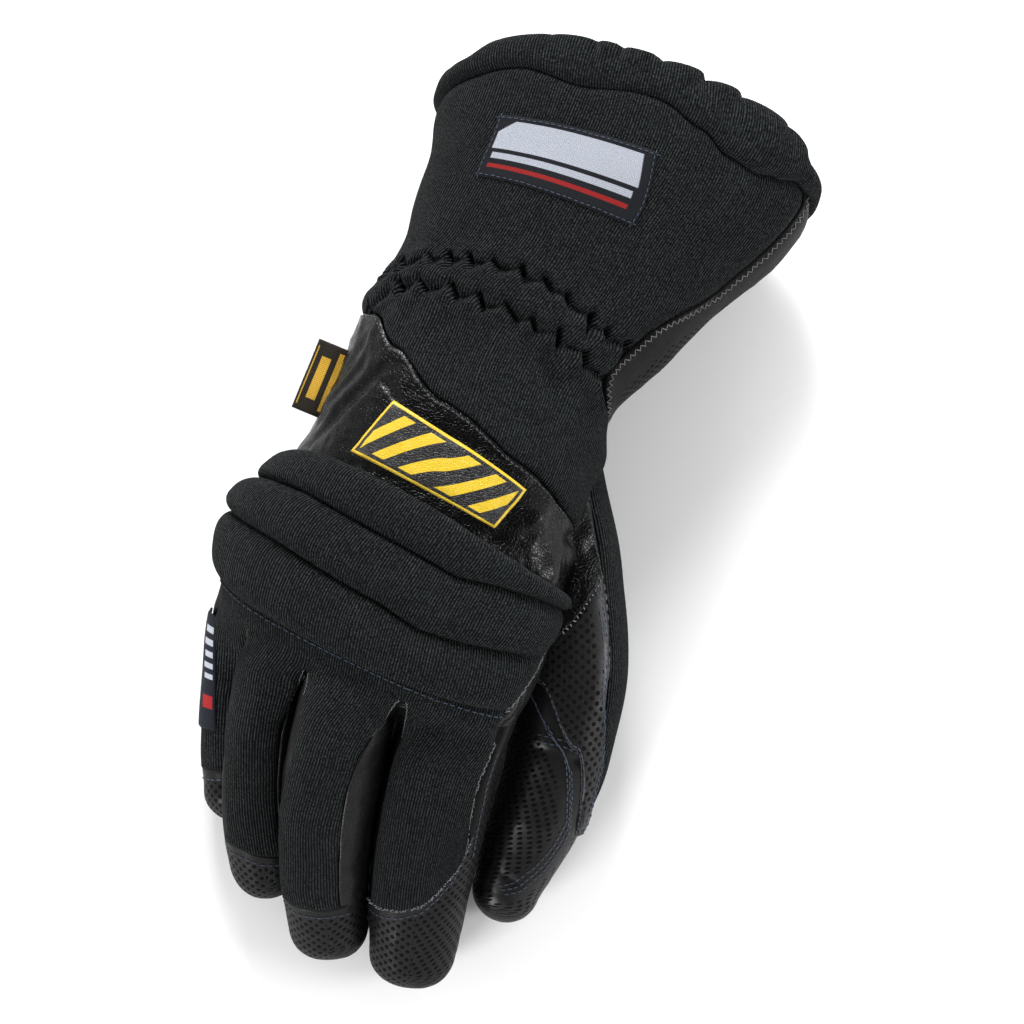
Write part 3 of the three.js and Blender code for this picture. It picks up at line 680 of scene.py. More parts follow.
def grain_group():
    """Leather grain: pebbles between fine creases, with broad worn areas."""
    group, start, end = new_group("Leather grain", [
        ("Vector", "NodeSocketVector", None), ("Scale", "NodeSocketFloat", 1.0),
    ], [("Height", "NodeSocketFloat"), ("Tone", "NodeSocketFloat"), ("Worn", "NodeSocketFloat")])
    scaled = add(group, "ShaderNodeVectorMath", operation="SCALE")
    link(group, start.outputs["Vector"], scaled.inputs[0])
    link(group, start.outputs["Scale"], scaled.inputs["Scale"])
    bent = add(group, "ShaderNodeTexNoise", in_Scale=0.5, in_Detail=2.0)
    link(group, scaled.outputs[0], bent.inputs["Vector"])
    moved = add(group, "ShaderNodeVectorMath", operation="ADD")
    link(group, scaled.outputs[0], moved.inputs[0])
    link(group, bent.outputs["Color"], moved.inputs[1])
    pebbles = add(group, "ShaderNodeTexVoronoi", feature="DISTANCE_TO_EDGE", in_Scale=1.15)
    link(group, moved.outputs[0], pebbles.inputs["Vector"])
    fine = add(group, "ShaderNodeTexVoronoi", feature="F1", in_Scale=2.7)
    link(group, moved.outputs[0], fine.inputs["Vector"])
    creases = ramp(group, pebbles.outputs["Distance"], 0.0, 0.16)
    height = math_node(group, "MULTIPLY_ADD", fine.outputs["Distance"], -0.35, creases)
    link(group, height, end.inputs["Height"])
    broad = add(group, "ShaderNodeTexNoise", in_Scale=0.09, in_Detail=4.0, in_Roughness=0.6)
    link(group, scaled.outputs[0], broad.inputs["Vector"])
    cloudy = math_node(group, "MULTIPLY", broad.outputs[0], 0.6)
    tone = math_node(group, "MULTIPLY_ADD", creases, 0.45, cloudy)
    link(group, tone, end.inputs["Tone"])
    link(group, ramp(group, broad.outputs[0], 0.52, 0.7), end.inputs["Worn"])
    return group


def dots_group():
    """Raised grip dots in two offset lattices, on the flat cut in millimetres."""
    group, start, end = new_group("Grip dots", [
        ("Vector", "NodeSocketVector", None), ("Across", "NodeSocketFloat", 3.6),
        ("Along", "NodeSocketFloat", 3.2), ("Radius", "NodeSocketFloat", 0.76),
    ], [("Dots", "NodeSocketFloat"), ("Height", "NodeSocketFloat")])
    split = add(group, "ShaderNodeSeparateXYZ")
    link(group, start.outputs["Vector"], split.inputs[0])
    u = math_node(group, "DIVIDE", split.outputs[0], start.outputs["Across"])
    v = math_node(group, "DIVIDE", split.outputs[1], start.outputs["Along"])
    away = []
    for shift in (0.0, 0.5):
        squares = []
        for place, pitch in ((u, start.outputs["Across"]), (v, start.outputs["Along"])):
            turn = math_node(group, "FRACT", math_node(group, "ADD", place, shift))
            reach = math_node(group, "MULTIPLY", math_node(group, "SUBTRACT", turn, 0.5), pitch)
            squares.append(math_node(group, "MULTIPLY", reach, reach))
        away.append(math_node(group, "SQRT", math_node(group, "ADD", *squares)))
    nearest = math_node(group, "MINIMUM", *away)
    share = math_node(group, "DIVIDE", nearest, start.outputs["Radius"])
    link(group, ramp(group, share, 1.1, 0.85), end.inputs["Dots"])
    link(group, ramp(group, share, 1.15, 0.35), end.inputs["Height"])
    return group


def weave_group():
    """Plain weave of a label or tape."""
    group, start, end = new_group("Label weave", [
        ("Vector", "NodeSocketVector", None), ("Thread", "NodeSocketFloat", 0.45),
    ], [("Height", "NodeSocketFloat"), ("Tone", "NodeSocketFloat")])
    split = add(group, "ShaderNodeSeparateXYZ")
    link(group, start.outputs["Vector"], split.inputs[0])
    waves = []
    for k in (0, 1):
        threads = math_node(group, "DIVIDE", split.outputs[k], start.outputs["Thread"])
        waves.append(math_node(group, "SINE", math_node(group, "MULTIPLY", threads, math.pi)))
    woven = math_node(group, "MULTIPLY_ADD", math_node(group, "MULTIPLY", *waves), 0.5, 0.5)
    fibres = add(group, "ShaderNodeTexNoise", in_Scale=3.0, in_Detail=2.0)
    link(group, start.outputs["Vector"], fibres.inputs["Vector"])
    link(group, math_node(group, "MULTIPLY_ADD", fibres.outputs[0], 0.4, woven), end.inputs["Height"])
    tone = math_node(group, "MULTIPLY_ADD", fibres.outputs[0], 0.5, math_node(group, "MULTIPLY", woven, 0.5))
    link(group, tone, end.inputs["Tone"])
    return group


def group(name):
    makers = {"knit": knit_group, "grain": grain_group, "dots": dots_group, "weave": weave_group}
    if name not in GROUPS:
        GROUPS[name] = makers[name]()
    return GROUPS[name]


def cut_vector(tree):
    """The piece's flat cut, in millimetres."""
    return add(tree, "ShaderNodeUVMap", uv_map="Cut").outputs[0]


def bumped(tree, shader, height, distance, strength=1.0):
    bump = add(tree, "ShaderNodeBump", in_Strength=strength, in_Distance=distance * MM)
    link(tree, height, bump.inputs["Height"])
    link(tree, bump.outputs[0], shader.inputs["Normal"])


def shade(colour, factor):
    return tuple(c * factor for c in colour[:3]) + (1.0,)


def knit_look(name="Knit", rib=0.9):
    if name in LOOKS:
        return LOOKS[name]
    colours = bpy.context.scene.glove_colours
    look, tree = nodes_of(name)
    shader = tree.nodes["Principled BSDF"]
    vector = cut_vector(tree)
    knit = placed(tree, group("knit"), vector, Rib=rib)
    dark = tuple(colours.knit)
    # From nearly black to nine times the knit's colour by Tone: painted shade in the rib valleys and painted
    # highlight on the crests, with random flecks
    colour = mixed(tree, knit.outputs["Tone"], shade(dark, 0.05), shade(dark, 9.0))
    colour = mixed(tree, math_node(tree, "MULTIPLY", knit.outputs["Lint"], 0.4), colour, shade(dark, 8.0))
    link(tree, colour, shader.inputs["Base Color"])
    shader.inputs["Roughness"].default_value = 0.95
    shader.inputs["Specular IOR Level"].default_value = 0.04
    shader.inputs["Sheen Weight"].default_value = 0.012
    shader.inputs["Sheen Roughness"].default_value = 0.5
    bumped(tree, shader, knit.outputs["Height"], 0.5)
    LOOKS[name] = look
    return look


def leather_look(name, colour, roughness, grain=1.0, dots=False, coat=0.0, bump=0.09, gloss=0.16):
    """Leather with its grain, and printed grip dots where it has them."""
    if name in LOOKS:
        return LOOKS[name]
    look, tree = nodes_of(name)
    shader = tree.nodes["Principled BSDF"]
    vector = cut_vector(tree)
    leather = placed(tree, group("grain"), vector, Scale=grain)
    base = mixed(tree, leather.outputs["Tone"], shade(colour, 0.6), shade(colour, 1.5))
    base = mixed(tree, math_node(tree, "MULTIPLY", leather.outputs["Worn"], 0.35), base, shade(colour, 2.2))
    rough = ramp(tree, leather.outputs["Tone"], 0.0, 1.0, roughness + 0.12, roughness - 0.08)
    height = math_node(tree, "MULTIPLY", leather.outputs["Height"], bump / 0.5)
    if dots:
        grip = placed(tree, group("dots"), vector)
        plain = add(tree, "ShaderNodeAttribute", attribute_name="plain")
        dotted = math_node(tree, "SUBTRACT", 1.0, plain.outputs["Fac"])
        printed = math_node(tree, "MULTIPLY", grip.outputs["Dots"], dotted)
        base = mixed(tree, printed, base, tuple(bpy.context.scene.glove_colours.dots))
        rough = math_node(tree, "MULTIPLY_ADD", printed, 0.1, rough)
        bare = ramp(tree, printed, 0.0, 1.0, coat, 0.0)
        link(tree, bare, shader.inputs["Coat Weight"])
        raised = math_node(tree, "MULTIPLY", grip.outputs["Height"], dotted)
        height = math_node(tree, "MULTIPLY_ADD", raised, 0.55, height)
    link(tree, base, shader.inputs["Base Color"])
    link(tree, rough, shader.inputs["Roughness"])
    shader.inputs["Specular IOR Level"].default_value = gloss
    shader.inputs["Coat Weight"].default_value = coat
    shader.inputs["Coat Roughness"].default_value = 0.3
    bumped(tree, shader, height, 0.5)
    LOOKS[name] = look
    return look


def thread_look(name, colour):
    if name in LOOKS:
        return LOOKS[name]
    look, tree = nodes_of(name)
    shader = tree.nodes["Principled BSDF"]
    place = add(tree, "ShaderNodeTexCoord")
    noise = add(tree, "ShaderNodeTexNoise", in_Scale=900.0, in_Detail=2.0)
    link(tree, place.outputs["Object"], noise.inputs["Vector"])
    base = mixed(tree, noise.outputs[0], shade(colour, 0.6), shade(colour, 1.5))
    link(tree, base, shader.inputs["Base Color"])
    shader.inputs["Roughness"].default_value = 0.7
    shader.inputs["Specular IOR Level"].default_value = 0.3
    bumped(tree, shader, noise.outputs[0], 0.1)
    LOOKS[name] = look
    return look


def box_mask(tree, u, v, low_u, high_u, low_v, high_v, soft=0.004):
    """1 inside a box of a piece's shares across and along."""
    parts = [ramp(tree, u, low_u - soft, low_u + soft), ramp(tree, u, high_u + soft, high_u - soft),
             ramp(tree, v, low_v - soft, low_v + soft), ramp(tree, v, high_v + soft, high_v - soft)]
    result = parts[0]
    for part in parts[1:]:
        result = math_node(tree, "MULTIPLY", result, part)
    return result


def share_vector(tree):
    """A label's or print's own shares, 0 to 1 across and along."""
    split = add(tree, "ShaderNodeSeparateXYZ")
    link(tree, add(tree, "ShaderNodeUVMap", uv_map="Share").outputs[0], split.inputs[0])
    return split.outputs[0], split.outputs[1]


def woven(tree, weave, colour, dark, light):
    """A thread's colour over a weave, from its dark gaps to its light tops."""
    return mixed(tree, weave.outputs["Tone"], shade(colour, dark), shade(colour, light))


def label_look():
    """Navy woven label with a white field and two plain stripes under it."""
    if "Cuff label" in LOOKS:
        return LOOKS["Cuff label"]
    look, tree = nodes_of("Cuff label")
    shader = tree.nodes["Principled BSDF"]
    weave = placed(tree, group("weave"), cut_vector(tree))
    u, v = share_vector(tree)
    navy, white, red = (0.0025, 0.003, 0.0052, 1), (0.31, 0.33, 0.375, 1), (0.2, 0.007, 0.007, 1)
    base = woven(tree, weave, navy, 0.5, 1.9)
    field = box_mask(tree, u, v, 0.07, 0.95, 0.1, 0.55)
    slope = math_node(tree, "MULTIPLY", math_node(tree, "SUBTRACT", 1.0, u), 1.6)
    corner = ramp(tree, math_node(tree, "ADD", slope, v), 0.36, 0.38)
    field = math_node(tree, "MULTIPLY", field, corner)
    base = mixed(tree, field, base, woven(tree, weave, white, 0.8, 1.1))
    line = box_mask(tree, u, v, 0.09, 0.93, 0.61, 0.7)
    base = mixed(tree, line, base, woven(tree, weave, white, 0.75, 1.05))
    base = mixed(tree, box_mask(tree, u, v, 0.09, 0.93, 0.78, 0.84), base, red)
    link(tree, base, shader.inputs["Base Color"])
    shader.inputs["Roughness"].default_value = 0.8
    shader.inputs["Specular IOR Level"].default_value = 0.2
    bumped(tree, shader, weave.outputs["Height"], 0.1)
    LOOKS["Cuff label"] = look
    return look


def striped_label_look(name, ground, bands):
    """A woven label or tape with plain bands: shares from and to across, from and to along, and a colour."""
    if name in LOOKS:
        return LOOKS[name]
    look, tree = nodes_of(name)
    shader = tree.nodes["Principled BSDF"]
    weave = placed(tree, group("weave"), cut_vector(tree))
    u, v = share_vector(tree)
    base = woven(tree, weave, ground, 0.6, 1.9)
    for *box, colour in bands:
        base = mixed(tree, box_mask(tree, u, v, *box), base, woven(tree, weave, colour, 0.75, 1.1))
    link(tree, base, shader.inputs["Base Color"])
    shader.inputs["Roughness"].default_value = 0.78
    shader.inputs["Specular IOR Level"].default_value = 0.2
    bumped(tree, shader, weave.outputs["Height"], 0.12)
    LOOKS[name] = look
    return look


def print_look():
    """Yellow and black diagonal bars in a plain border, printed on the glossy patch."""
    if "Patch print" in LOOKS:
        return LOOKS["Patch print"]
    colours = bpy.context.scene.glove_colours
    look, tree = nodes_of("Patch print")
    shader = tree.nodes["Principled BSDF"]
    u, v = share_vector(tree)
    yellow, black = tuple(colours.print_yellow), (0.0015, 0.0015, 0.0015, 1)
    inner = box_mask(tree, u, v, 0.02, 0.98, 0.05, 0.95)
    field = box_mask(tree, u, v, 0.045, 0.955, 0.115, 0.885)
    slant = math_node(tree, "MULTIPLY_ADD", v, 1.25, 0.12)
    bars = math_node(tree, "FRACT", math_node(tree, "ADD", math_node(tree, "MULTIPLY", u, 5.0), slant))
    bars = math_node(tree, "MULTIPLY", ramp(tree, bars, 0.02, 0.05), ramp(tree, bars, 0.5, 0.47))
    base = mixed(tree, inner, yellow, black)
    base = mixed(tree, math_node(tree, "MULTIPLY", field, bars), base, yellow)
    grain = placed(tree, group("grain"), cut_vector(tree), Scale=1.0)
    base = mixed(tree, math_node(tree, "MULTIPLY", grain.outputs["Tone"], 0.12), base, black)
    link(tree, base, shader.inputs["Base Color"])
    shader.inputs["Roughness"].default_value = 0.4
    shader.inputs["Coat Weight"].default_value = 0.15
    shader.inputs["Coat Roughness"].default_value = 0.25
    bumped(tree, shader, grain.outputs["Height"], 0.06)
    LOOKS["Patch print"] = look
    return look


# Reliefs shared by more than one piece


def gathered(panel):
    """The back's cloth at the wrist: puffs between two rows of elastic, pinched into short folds."""
    sizes = bpy.context.scene.glove_sizes
    at, angle, base = panel.at, panel.angle, panel.base
    depth = sizes.pinch_depth / MM
    upper = np.interp(angle, [a for _, a in UPPER_PINCHES[::-1]], [t for t, _ in UPPER_PINCHES[::-1]])
    lower = np.interp(angle, [a for _, a in LOWER_PINCHES[::-1]], [t for t, _ in LOWER_PINCHES[::-1]])
    relief = 1.5 * bell(at - (upper + lower) / 2, 0.24)
    relief -= 0.7 * bell(at - upper, 0.07) + 0.7 * bell(at - lower, 0.07)
    relief += 0.5 * bell(at - upper + 0.27, 0.14) + 0.5 * bell(at - lower - 0.27, 0.14)
    folds, ridges = [], []
    for i, (t, a) in enumerate(UPPER_PINCHES):
        size = 0.85 + 0.3 * math.sin(i * 2.3)
        slit = on_hand(t - 0.14 * size, a + 2.6), on_hand(t + 0.14 * size, a - 2.6)
        folds.append((*slit, depth * size, 0.95))
        ridges.append((on_hand(t - 0.1, a + 5.6), on_hand(t + 0.16, a + 0.8), 1.4, 1.9))
        folds.append((on_hand(t - 0.75, a + 3 * math.sin(i * 2.1)), on_hand(t - 0.1, a + 1), 0.6, 2.8))
    for i, (t, a) in enumerate(LOWER_PINCHES):
        size = 0.9 + 0.25 * math.sin(i * 1.9 + 1)
        slit = on_hand(t - 0.15 * size, a + 2.6), on_hand(t + 0.15 * size, a - 2.8)
        folds.append((*slit, depth * size, 0.95))
        ridges.append((on_hand(t - 0.06, a + 5.2), on_hand(t + 0.2, a + 0.6), 1.4, 1.9))
        folds.append((on_hand(t + 0.12, a - 1), on_hand(t + 0.95, a + 5 * math.sin(i * 1.7)), 0.75, 3.4))
    for row in (UPPER_PINCHES, LOWER_PINCHES):
        for (t, a), (next_t, next_a) in zip(row, row[1:]):
            between = on_hand(t + 0.11, a - 2.4), on_hand(next_t - 0.12, next_a + 2.4)
            folds.append((*between, 0.45 * depth, 1.3))
    relief += dents(base, ridges)
    folds.append((on_hand(5.1, 90), on_hand(5.8, 58), 1.7, 3.8))
    folds.append((on_hand(5.2, 72), on_hand(6.3, 52), 1.0, 4.0))
    folds.append((on_hand(5.5, 112), on_hand(6.2, 96), 0.8, 4.5))
    relief -= dents(base, folds)
    relief += 0.9 * soft_noise(base, 26, 3) * smooth(0.0, 9.0, panel.edge()) + 0.25 * soft_noise(base, 9, 5)
    return relief


def ribs_relief(at, angle):
    """Three padded ribs across the knuckles, deeply grooved between."""
    height = bpy.context.scene.glove_sizes.rib_height / MM
    relief = np.zeros_like(at)
    seams = [on_seam(table, angle) for table in PAD_SEAMS]
    for k, (full, skew) in enumerate(((0.95, 0.9), (1.0, 1.0), (1.0, 1.1))):
        share = np.clip((at - seams[k]) / (seams[k + 1] - seams[k]), 0, 1) ** skew
        within = (at >= seams[k]) & (at <= seams[k + 1])
        relief = np.where(within, full * (1 - np.abs(2 * share - 1) ** 2.9) ** 0.6, relief)
    return -0.9 + (height + 0.9) * relief


def patch_relief(panel):
    """The glossy leather: creased near the tape, rounded bulges by the thumb."""
    base = panel.base
    folds = [
        (on_hand(7.85, 150), on_hand(6.62, 128), 1.5, 2.4),
        (on_hand(7.6, 158), on_hand(6.5, 140), 0.9, 2.2),
        (on_hand(7.3, 165), on_hand(6.3, 148), 0.8, 2.0),
        (on_hand(7.98, 66), on_hand(7.3, 14), 3.2, 2.6),
        (on_hand(7.75, 52), on_hand(7.2, 38), 0.8, 2.4),
        (on_hand(7.9, 118), on_hand(7.75, 82), 0.8, 2.2),
        (on_hand(7.05, 96), on_hand(6.95, 70), 0.6, 1.8),
        (on_hand(6.75, 126), on_hand(6.95, 112), 0.8, 1.6),
    ]
    relief = -dents(base, folds)
    bulges = ((7.4, 48), 2.4, 5.5), ((7.9, 28), 2.4, 6.0), ((7.5, 8), 1.6, 5.0), ((7.2, 158), 1.4, 7.0)
    for place, height, width in bulges:
        away = np.linalg.norm(base - on_hand(*place), axis=-1)
        relief += height * bell(away, width)
    calm = mound(panel.at, panel.angle, (7.2, 93), (0.45, 28))
    return relief - wrinkled(base) * (1 - 0.7 * calm)


def wrinkled(base):
    """Creases of the glossy leather, broad, middling and fine."""
    creases = (7.5, 11, 0.6), (3.6, 12, 0.34), (1.9, 13, 0.13)
    return sum(deep * np.abs(soft_noise(base, size, seed)) for size, seed, deep in creases)


# Pieces


def build_hem():
    """A padded roll round the cuff's mouth, drawn in at its gathers and scalloped between them."""
    notches, grooves, reaches = np.array(HEM_GATHERS, float).T
    panel = Panel("hand", 0, 1, 0, 360, 44, 400)
    turn = panel.share * 2 * math.pi
    angle = panel.angle
    nearest = np.searchsorted(notches, angle % 360) % len(notches)
    past = np.where(angle % 360 > notches[-1], 360, 0)
    high = notches[nearest] + past
    low = notches[nearest - 1] - np.where(nearest == 0, 360, 0) + past
    along_arc = np.clip((angle % 360 - low) / np.maximum(high - low, 1), 0, 1)
    scallop = np.sin(np.pi * along_arc ** 0.55) ** 0.6
    rim_at = 0.06 + seam_at(HEM_RIM, angle) - 0.36 * scallop * reaches[nearest]
    fold_at = hem_fold(np.where(angle > 270, angle - 360, angle))
    panel.at = lerp(rim_at, fold_at, 0.5 + 0.5 * np.cos(turn))
    groove = lerp(grooves[nearest - 1], grooves[nearest], along_arc)
    drawn_in = 1 - np.sin(np.pi * along_arc) ** 0.3
    pinch = 1 - 0.75 * groove * drawn_in * np.clip(0.7 - 0.7 * np.cos(turn), 0, 1)
    base = on_hand(panel.at, angle)
    out = -1.6 + 4.0 * np.sin(turn) * pinch + 0.35 * soft_noise(base, 14, 2) + 0.2 * soft_noise(base, 6, 8)
    creases = []
    for a, deep, _ in HEM_GATHERS[:CREASED_GATHERS]:
        creases.append((on_hand(-0.05, a), on_hand(0.7, a + 7 * math.sin(a)), 2.4 * deep, 1.7))
    creases.append((on_hand(0.1, 78), on_hand(1.2, 57), 2.2, 3.0))
    out -= dents(base, creases) * smooth(-0.2, 0.3, np.sin(turn)) * (0.5 - 0.5 * np.cos(turn))
    panel.points = on_hand(panel.at, angle, out)
    panel.flat = np.stack([chart("hand", 0.5 + 0 * angle, angle)[..., 0], 38 * panel.share], -1)
    made = write_ring(panel, "sewn_cuff_hem", knit_look())
    finish_piece(made, ["cuff_hem"])


def write_ring(panel, name, look):
    """A closed roll, whose grid meets itself both ways round."""
    rows, columns = panel.points.shape[0] - 1, panel.points.shape[1] - 1
    index = np.arange(rows * columns).reshape(rows, columns)
    grid = np.pad(index, ((0, 1), (0, 1)), mode="wrap")
    faces = np.stack([grid[:-1, :-1], grid[1:, :-1], grid[1:, 1:], grid[:-1, 1:]], -1).reshape(-1, 4)
    flat = panel.flat
    flat = np.stack([flat[:-1, :-1], flat[1:, :-1], flat[1:, 1:], flat[:-1, 1:]], 2).reshape(-1, 4, 2)
    return write_mesh(name, panel.points[:-1, :-1].reshape(-1, 3), faces, flat, look)


def build_back_cloth():
    rows = np.r_[
        np.linspace(0, 0.5, 50, endpoint=False), np.linspace(0.5, 0.93, 120, endpoint=False),
        np.linspace(0.93, 1, 12),
    ]
    panel = Panel("hand", lambda a: hem_fold(a) - 0.12, patch_top, cuff_seam, LITTLE_SIDE, rows, 225)
    edges = tuck(panel.from_right, 1.6, 4.0) + tuck(panel.from_end, 1.4, 3.5)
    edges += tuck(panel.from_left, 1.2, 3.0)
    relief = gathered(panel) + edges - 2.8 * bell(panel.from_start, 2.6)
    relief += 2.6 * mound(panel.at, panel.angle, (6.05, 4), (0.34, 15))
    panel.raised(relief)
    made = sewn("sewn_back_cloth", [panel], HAND_KNIT, knit_look(), ["back_cloth"])


def build_cuff_leather():
    panel = Panel("hand", lambda a: hem_fold(np.where(a > 270, a - 360, a)) - 0.1, WRIST_SEAM + 0.1,
                  LITTLE_SIDE, lambda at: 366 + cuff_seam(at) - 6, 90, 120)
    relief = tuck(panel.from_left, 1.0, 2.6) + tuck(panel.from_right, 1.0, 3.0)
    relief += tuck(panel.from_end, 1.0, 3.0)
    relief += 0.5 * soft_noise(panel.base, 22, 21) - 1.6 * bell(panel.from_start, 3.0)
    relief -= 0.25 * np.abs(soft_noise(panel.base, 6, 22))
    panel.raised(relief)
    panel.plain = smooth(12, 10.5, panel.from_left)
    leather = tuple(bpy.context.scene.glove_colours.leather)
    look = leather_look("Cuff leather", leather, 0.56, dots=True, gloss=0.06, coat=0.1, bump=0.12)
    made = sewn("sewn_cuff_leather", [panel], LEATHER, look, ["cuff_leather"])
    PANELS["cuff_leather"] = panel


def sew_label(name, panel, thickness, look, nodes):
    made = sewn(name, [panel], thickness, look, nodes)
    add_shares(made, panel, np.stack([panel.across, panel.share], -1))
    return made


def add_shares(made, panel, shares):
    """A second UV map with the shares across and along, for borders and bands."""
    cut = np.empty(len(made.data.loops) * 2, np.float32)
    made.data.uv_layers["Cut"].uv.foreach_get("vector", cut)
    cut = cut.reshape(-1, 2)
    flat, share = panel.flat.reshape(-1, 2), shares.reshape(-1, 2)
    tree = KDTree(len(flat))
    for i, (x, y) in enumerate(flat):
        tree.insert((x, y, 0), i)
    tree.balance()
    nearest = np.array([tree.find((x, y, 0))[1] for x, y in cut])
    layer = made.data.uv_layers.new(name="Share")
    layer.uv.foreach_set("vector", share[nearest].astype(np.float32).ravel())


def build_cuff_label():
    panel = Panel("hand", 1.83, 3.02, lambda at: 83 - 7 * smooth(1.8, 3, at), 130, 40, 60)
    cloth = 0.9 * soft_noise(panel.base, 26, 3) + 0.25 * soft_noise(panel.base, 9, 5)
    panel.raised(cloth + 0.75 + tuck(panel.edge(), 0.4, 1.2))
    made = sew_label("sewn_cuff_label", panel, LABEL, label_look(), ["cuff_label"])
    panel.size()
    PANELS["cuff_label"] = panel


def build_side_label():
    panel = Panel("little", 1, 2.85, lambda at: 136 - 9 * at, lambda at: 196 - 9 * at, 40, 24)
    panel.raised(1.5 + tuck(panel.edge(), 0.4, 1.0))
    navy, white, red = (0.003, 0.004, 0.009, 1), (0.4, 0.42, 0.47, 1), (0.3, 0.01, 0.012, 1)
    bands = [(0.1, 0.5 + 0.05 * (i % 2), 0.08 + 0.1 * i, 0.13 + 0.1 * i, white) for i in range(5)]
    look = striped_label_look("Side label", navy, [*bands, (0.1, 0.55, 0.68, 0.8, red)])
    made = sew_label("sewn_side_label", panel, LABEL, look, ["side_label"])
    width, length = panel.size()


def build_tag():
    """The woven tape: a loop folded flat, caught in the seam at its open ends."""
    ends = [on_hand(at, 178) for at in (6.35, 7.45)]
    middle, along = (ends[0] + ends[1]) / 2, ends[1] - ends[0]
    along /= np.linalg.norm(along)
    outwards = np.cross([0, 0, 1.0], along)
    outwards /= -np.linalg.norm(outwards)
    up = np.cross(along, outwards)
    up *= np.sign(up[2])
    fold = np.linspace(0.2, math.pi - 0.2, 7)
    reach = np.r_[np.linspace(-4, 8.2, 14), 8.2 + 0.7 * np.sin(fold), np.linspace(8.2, -4, 14)]
    height = np.r_[np.full(14, 0.5), 0.5 * np.cos(fold), np.full(14, -0.5)]
    height = height + 0.35 * np.sin(reach * 0.6)
    widths = np.linspace(-12, 12, 25)
    points = (middle + widths[None, :, None] * along + reach[:, None, None] * outwards
              + (height[:, None] + 0.3 * np.sin(widths * 0.35)[None, :])[..., None] * up)
    panel = Panel.over(points, np.linspace(0, 1, len(reach)), np.linspace(0, 1, len(widths)))
    brown, gold = (0.012, 0.009, 0.006, 1), (0.5, 0.29, 0.03, 1)
    boxes = (0.08, 0.92, 0.1, 0.16), (0.08, 0.92, 0.38, 0.42), (0.2, 0.8, 0.22, 0.32)
    look = striped_label_look("Tag tape", brown, [(*box, gold) for box in boxes])
    made = sew_label("sewn_pull_tag", panel, TAPE, look, ["pull_tag"])


def build_patch():
    panel = Panel("hand", patch_top, PAD_TOP + 0.06, -6, LITTLE_SIDE + 2, 90, 170)
    relief = patch_relief(panel) + tuck(panel.from_start, 1.0, 2.4) + tuck(panel.from_end, 0.9, 2.5)
    relief += tuck(panel.edge("right left"), 1.2, 3)
    panel.raised(relief - 0.2)
    wing = Panel("thumb", 1.1, lambda angle: 1.98 + 0.0152 * (angle - 57), 54, 104, 44, 50)
    folds = dents(wing.base, [(FORMS["thumb"](1.55, 52), FORMS["thumb"](1.95, 96), 1.2, 2.4)])
    edges = tuck(wing.from_right, 1.4, 1.6) + tuck(wing.from_end, 1.2, 1.6) + tuck(wing.from_start, 2.2, 3.0)
    wing.raised(2.4 + edges - folds - 0.8 * wrinkled(wing.base))
    glossy = tuple(bpy.context.scene.glove_colours.patch)
    look = leather_look("Glossy leather", glossy, 0.23, grain=0.8, bump=0.055, gloss=0.13)
    made = sewn("sewn_back_patch", [panel, wing], PATCH_LEATHER, look, ["back_patch"])
    width, length = panel.size()
    PANELS["back_patch"], PANELS["patch_wing"] = panel, wing
    build_print()


def build_print():
    """The print between its four corners on the patch, just proud of the leather."""
    panel = Panel("hand", 0, 1, 1, 0, 30, 70)
    across, down = panel.across[..., None], panel.share[..., None]
    upper, lower = (lerp(right, left, across) for right, left in PRINT_CORNERS)
    place = lerp(upper, lower, down)
    panel.at, panel.angle = place[..., 0], place[..., 1]
    panel.measure(on_hand(panel.at, panel.angle))
    panel.raised(patch_relief(panel) - 0.2 + 0.14 + tuck(panel.edge(), 0.12, 0.8))
    made = sewn("sewn_patch_print", [panel], PRINT, print_look())
    add_shares(made, panel, np.stack([1 - panel.across, panel.share], -1))
    panel.size()


def pad_right(at):
    """Degrees of the knuckle pad's end on the thumb's side."""
    return -9 + 12.5 * (at - 8)


def build_pad():
    panel = Panel("hand", lambda a: on_seam(PAD_SEAMS[0], a), lambda a: on_seam(PAD_SEAMS[3], a),
                  pad_right, LITTLE_SIDE, 180, 190)
    relief = ribs_relief(panel.at, panel.angle)
    thumb_end = np.clip(panel.from_right / 20, 0, 1)
    relief = relief * lerp(0.1, 1, np.sin(thumb_end * math.pi / 2)) - 0.8 * (1 - thumb_end) ** 6
    little_end = np.clip(panel.from_left / 7, 0, 1)
    relief = relief * np.sin(little_end * math.pi / 2) ** 0.7 - 2.0 * (1 - little_end) ** 2
    relief += 0.4 * soft_noise(panel.base, 20, 31) + 0.2 * soft_noise(panel.base, 8, 32)
    panel.raised(relief + 0.3)
    made = sewn("sewn_knuckle_pad", [panel], PAD_KNIT, knit_look(), ["knuckle_pad"])
    PANELS["knuckle_pad"] = panel


def bridged(above, below, steps):
    """Rows of cloth between two grids, which leave and meet them without a fold."""
    a, b = above[-1], below[0]
    ta, tb = a - above[-2], below[1] - b
    reach = np.linalg.norm(b - a, axis=-1, keepdims=True)
    ta *= reach / np.maximum(np.linalg.norm(ta, axis=-1, keepdims=True), 1e-6)
    tb *= reach / np.maximum(np.linalg.norm(tb, axis=-1, keepdims=True), 1e-6)
    s = np.linspace(0, 1, steps)[1:-1, None, None]
    return ((2 * s**3 - 3 * s**2 + 1) * a + (s**3 - 2 * s**2 + s) * ta
            + (-2 * s**3 + 3 * s**2) * b + (s**3 - s**2) * tb)


